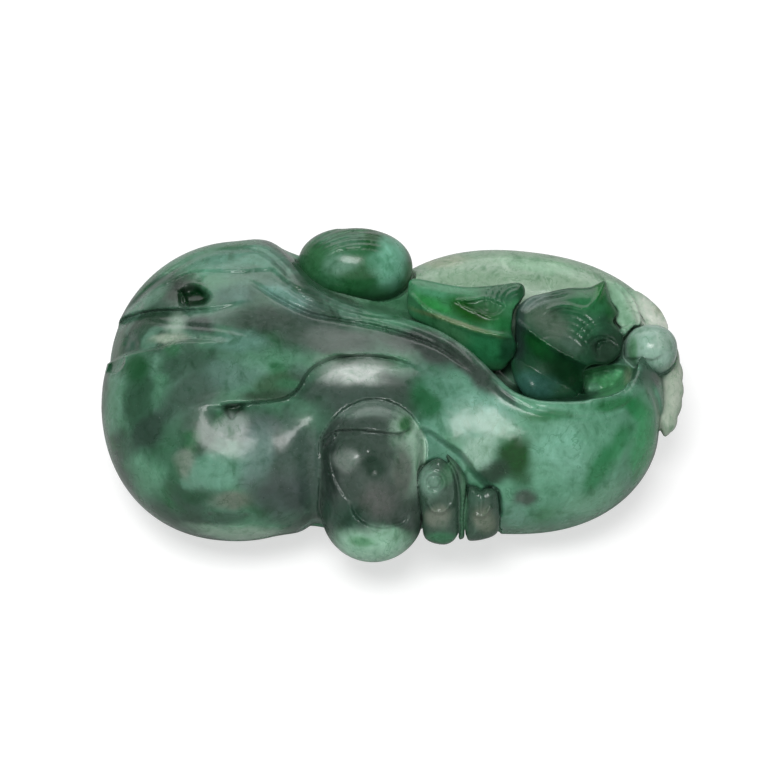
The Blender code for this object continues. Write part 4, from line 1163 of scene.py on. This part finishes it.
on_vein = ranged(tree, off_vein, 0.002, 0.011, 1, 0)
veined = math_node(tree, "MULTIPLY", on_vein, ranged(tree, streaks, 0.42, 0.56, 0, 0.6))
colour = mixed(tree, veined, colour, dark)
specks = noise(tree, place, 3.2, 2.0, 0.6).outputs[0]
colour = mixed(tree, ranged(tree, specks, 0.70, 0.78, 0, 0.2), colour, (0.4, 0.5, 0.44))
grain = noise(tree, place, 5.0, 4.0, 0.6).outputs[0]
# Painted shade: the colour is darkened by up to a fifth where the skin lies deep below the uncarved body, in
# blotches from the grain noise.
painted_shade_colour = mixed(tree, 0.5, colour, (0.01, 0.05, 0.02), "MULTIPLY")
painted_shade_amount = math_node(tree, "MULTIPLY", depth, ranged(tree, grain, 0.5, 0.7, 0, 0.4))
tree.links.new(mixed(tree, painted_shade_amount, colour, painted_shade_colour), shader.inputs["Base Color"])
print("nodes of the colour:", len(tree.nodes))

# %% Its polish
polish = noise(tree, place, 0.35, 3.0).outputs[0]
dull = math_node(tree, "MULTIPLY_ADD", depth, 0.05, ranged(tree, polish, 0.3, 0.7, 0.24, 0.34))
tree.links.new(dull, shader.inputs["Roughness"])
WAVINESS = 0.00012      # metres, of a surface that is polished by hand
wave = noise(tree, place, 0.4, 2.0).outputs[0]
rough = math_node(tree, "MULTIPLY_ADD", depth, 0.2, 0.02)
height = math_node(tree, "ADD", wave, math_node(tree, "MULTIPLY", grain, rough))
bump = add(tree, "ShaderNodeBump", {"Height": height, "Distance": WAVINESS, "Strength": 1.0})
tree.links.new(bump.outputs[0], shader.inputs["Normal"])
POLISHED_JADE = {
    "IOR": 1.5, "Specular IOR Level": 0.25, "Coat Weight": 0.25, "Coat Roughness": 0.13, "Coat IOR": 1.4,
    "Subsurface Weight": 0.2, "Subsurface Radius": (0.5, 1.0, 0.65), "Subsurface Scale": 0.0014,
}
for socket, value in POLISHED_JADE.items():
    shader.inputs[socket].default_value = value
skin.data.materials.clear()
skin.data.materials.append(jade)
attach(skin, "root")
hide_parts("jade_palm_stone")
print("nodes of the jade:", len(tree.nodes), "on", len(skin.data.polygons), "faces")

# %% [markdown]
# ## Floor
#
# The stone lies on a plain pale floor. To the stone and the lights the floor is mid grey, because a white one
# would throw so much light up that the deep greens turn pale. For the camera alone it glows enough to look
# white, and the soft shadow of the stone still shows on it.

# %% Floor
FLOOR_GLOW = 0.62
floor_mesh = bpy.data.meshes.new("floor")
floor_mesh.from_pydata([(-3, -3, 0), (3, -3, 0), (3, 3, 0), (-3, 3, 0)], [], [(0, 1, 2, 3)])
floor = bpy.data.objects.new("floor", floor_mesh)
bpy.context.scene.collection.objects.link(floor)
matt = bpy.data.materials.new("pale_floor")
matt.use_nodes = True
tree = matt.node_tree
shader = tree.nodes["Principled BSDF"]
fibres = noise(tree, add(tree, "ShaderNodeTexCoord").outputs["Object"], 900.0).outputs[0]
tree.links.new(mixed(tree, fibres, (0.43, 0.43, 0.43), (0.46, 0.46, 0.46)), shader.inputs["Base Color"])
seen = add(tree, "ShaderNodeLightPath").outputs["Is Camera Ray"]
tree.links.new(math_node(tree, "MULTIPLY", seen, FLOOR_GLOW), shader.inputs["Emission Strength"])
shader.inputs["Emission Color"].default_value = (1, 1, 1, 1)
shader.inputs["Roughness"].default_value = 0.9
floor_mesh.materials.append(matt)
print("floor:", tuple(floor.dimensions))

# %% [markdown]
# ## Light
#
# Three softboxes light the stone. One hangs overhead and a little in front, and gives the bright highlights
# on the upper curves. A wide one behind it lights the back wall, and a wide and weak one in front lights the
# boss and the lower rim. The world adds a little light from all round.


# %% Light
def softbox(name, direction, distance, width, depth, power):
    """An area light at this distance in a direction from the stone, turned toward it, in metres and watts."""
    lamp = bpy.data.lights.new(name, "AREA")
    lamp.shape = "RECTANGLE"
    lamp.size, lamp.size_y, lamp.energy = width, depth, power
    holder = bpy.data.objects.new(name, lamp)
    holder.location = Vector(direction).normalized() * distance
    holder.rotation_euler = (-Vector(direction)).to_track_quat("-Z", "Y").to_euler()
    bpy.context.scene.collection.objects.link(holder)
    print(name, "softbox: %g by %g m, %g W" % (width, depth, power))


softbox("overhead", (-0.12, -0.33, 0.94), 0.9, 0.42, 0.34, 6.8)
softbox("behind", (-0.05, 0.85, 0.45), 0.9, 0.9, 0.5, 2.8)
softbox("front", (0.1, -0.92, 0.38), 0.9, 1.4, 0.7, 2.3)
world = bpy.data.worlds.new("studio")
bpy.context.scene.world = world
world.use_nodes = True
background = world.node_tree.nodes["Background"]
background.inputs["Color"].default_value = (1, 1, 1, 1)
background.inputs["Strength"].default_value = 0.16

# %% [markdown]
# ## Camera
#
# The camera looks along the sheet's w, with a long lens from 0.6 m away, so that the stone is seen nearly
# without perspective. It aims a little to the left of the sheet's origin and above it, where the middle of
# the picture is.

# %% Camera
AIM_LEFT, AIM_UP = 1.086, 1.086
AWAY = 0.6
aim = Vector(on_sheet(0, 0, 0)) - Vector((0, 0, FLAT_CUT))
right, above, toward = Vector((1, 0, 0)), Vector((0, SIN, COS)), Vector((0, -COS, SIN))
aim = (aim - AIM_LEFT * right + AIM_UP * above) * UNIT
lens = bpy.data.cameras.new("camera")
lens.sensor_width = 36
lens.lens = 233
lens.clip_start = 0.01
camera = bpy.data.objects.new("camera", lens)
camera.location = aim + toward * AWAY
camera.rotation_euler = (-toward).to_track_quat("-Z", "Y").to_euler()
bpy.context.scene.collection.objects.link(camera)
bpy.context.scene.camera = camera
bpy.context.scene.view_settings.view_transform = "Standard"
print("camera at:", [round(value, 3) for value in camera.location])
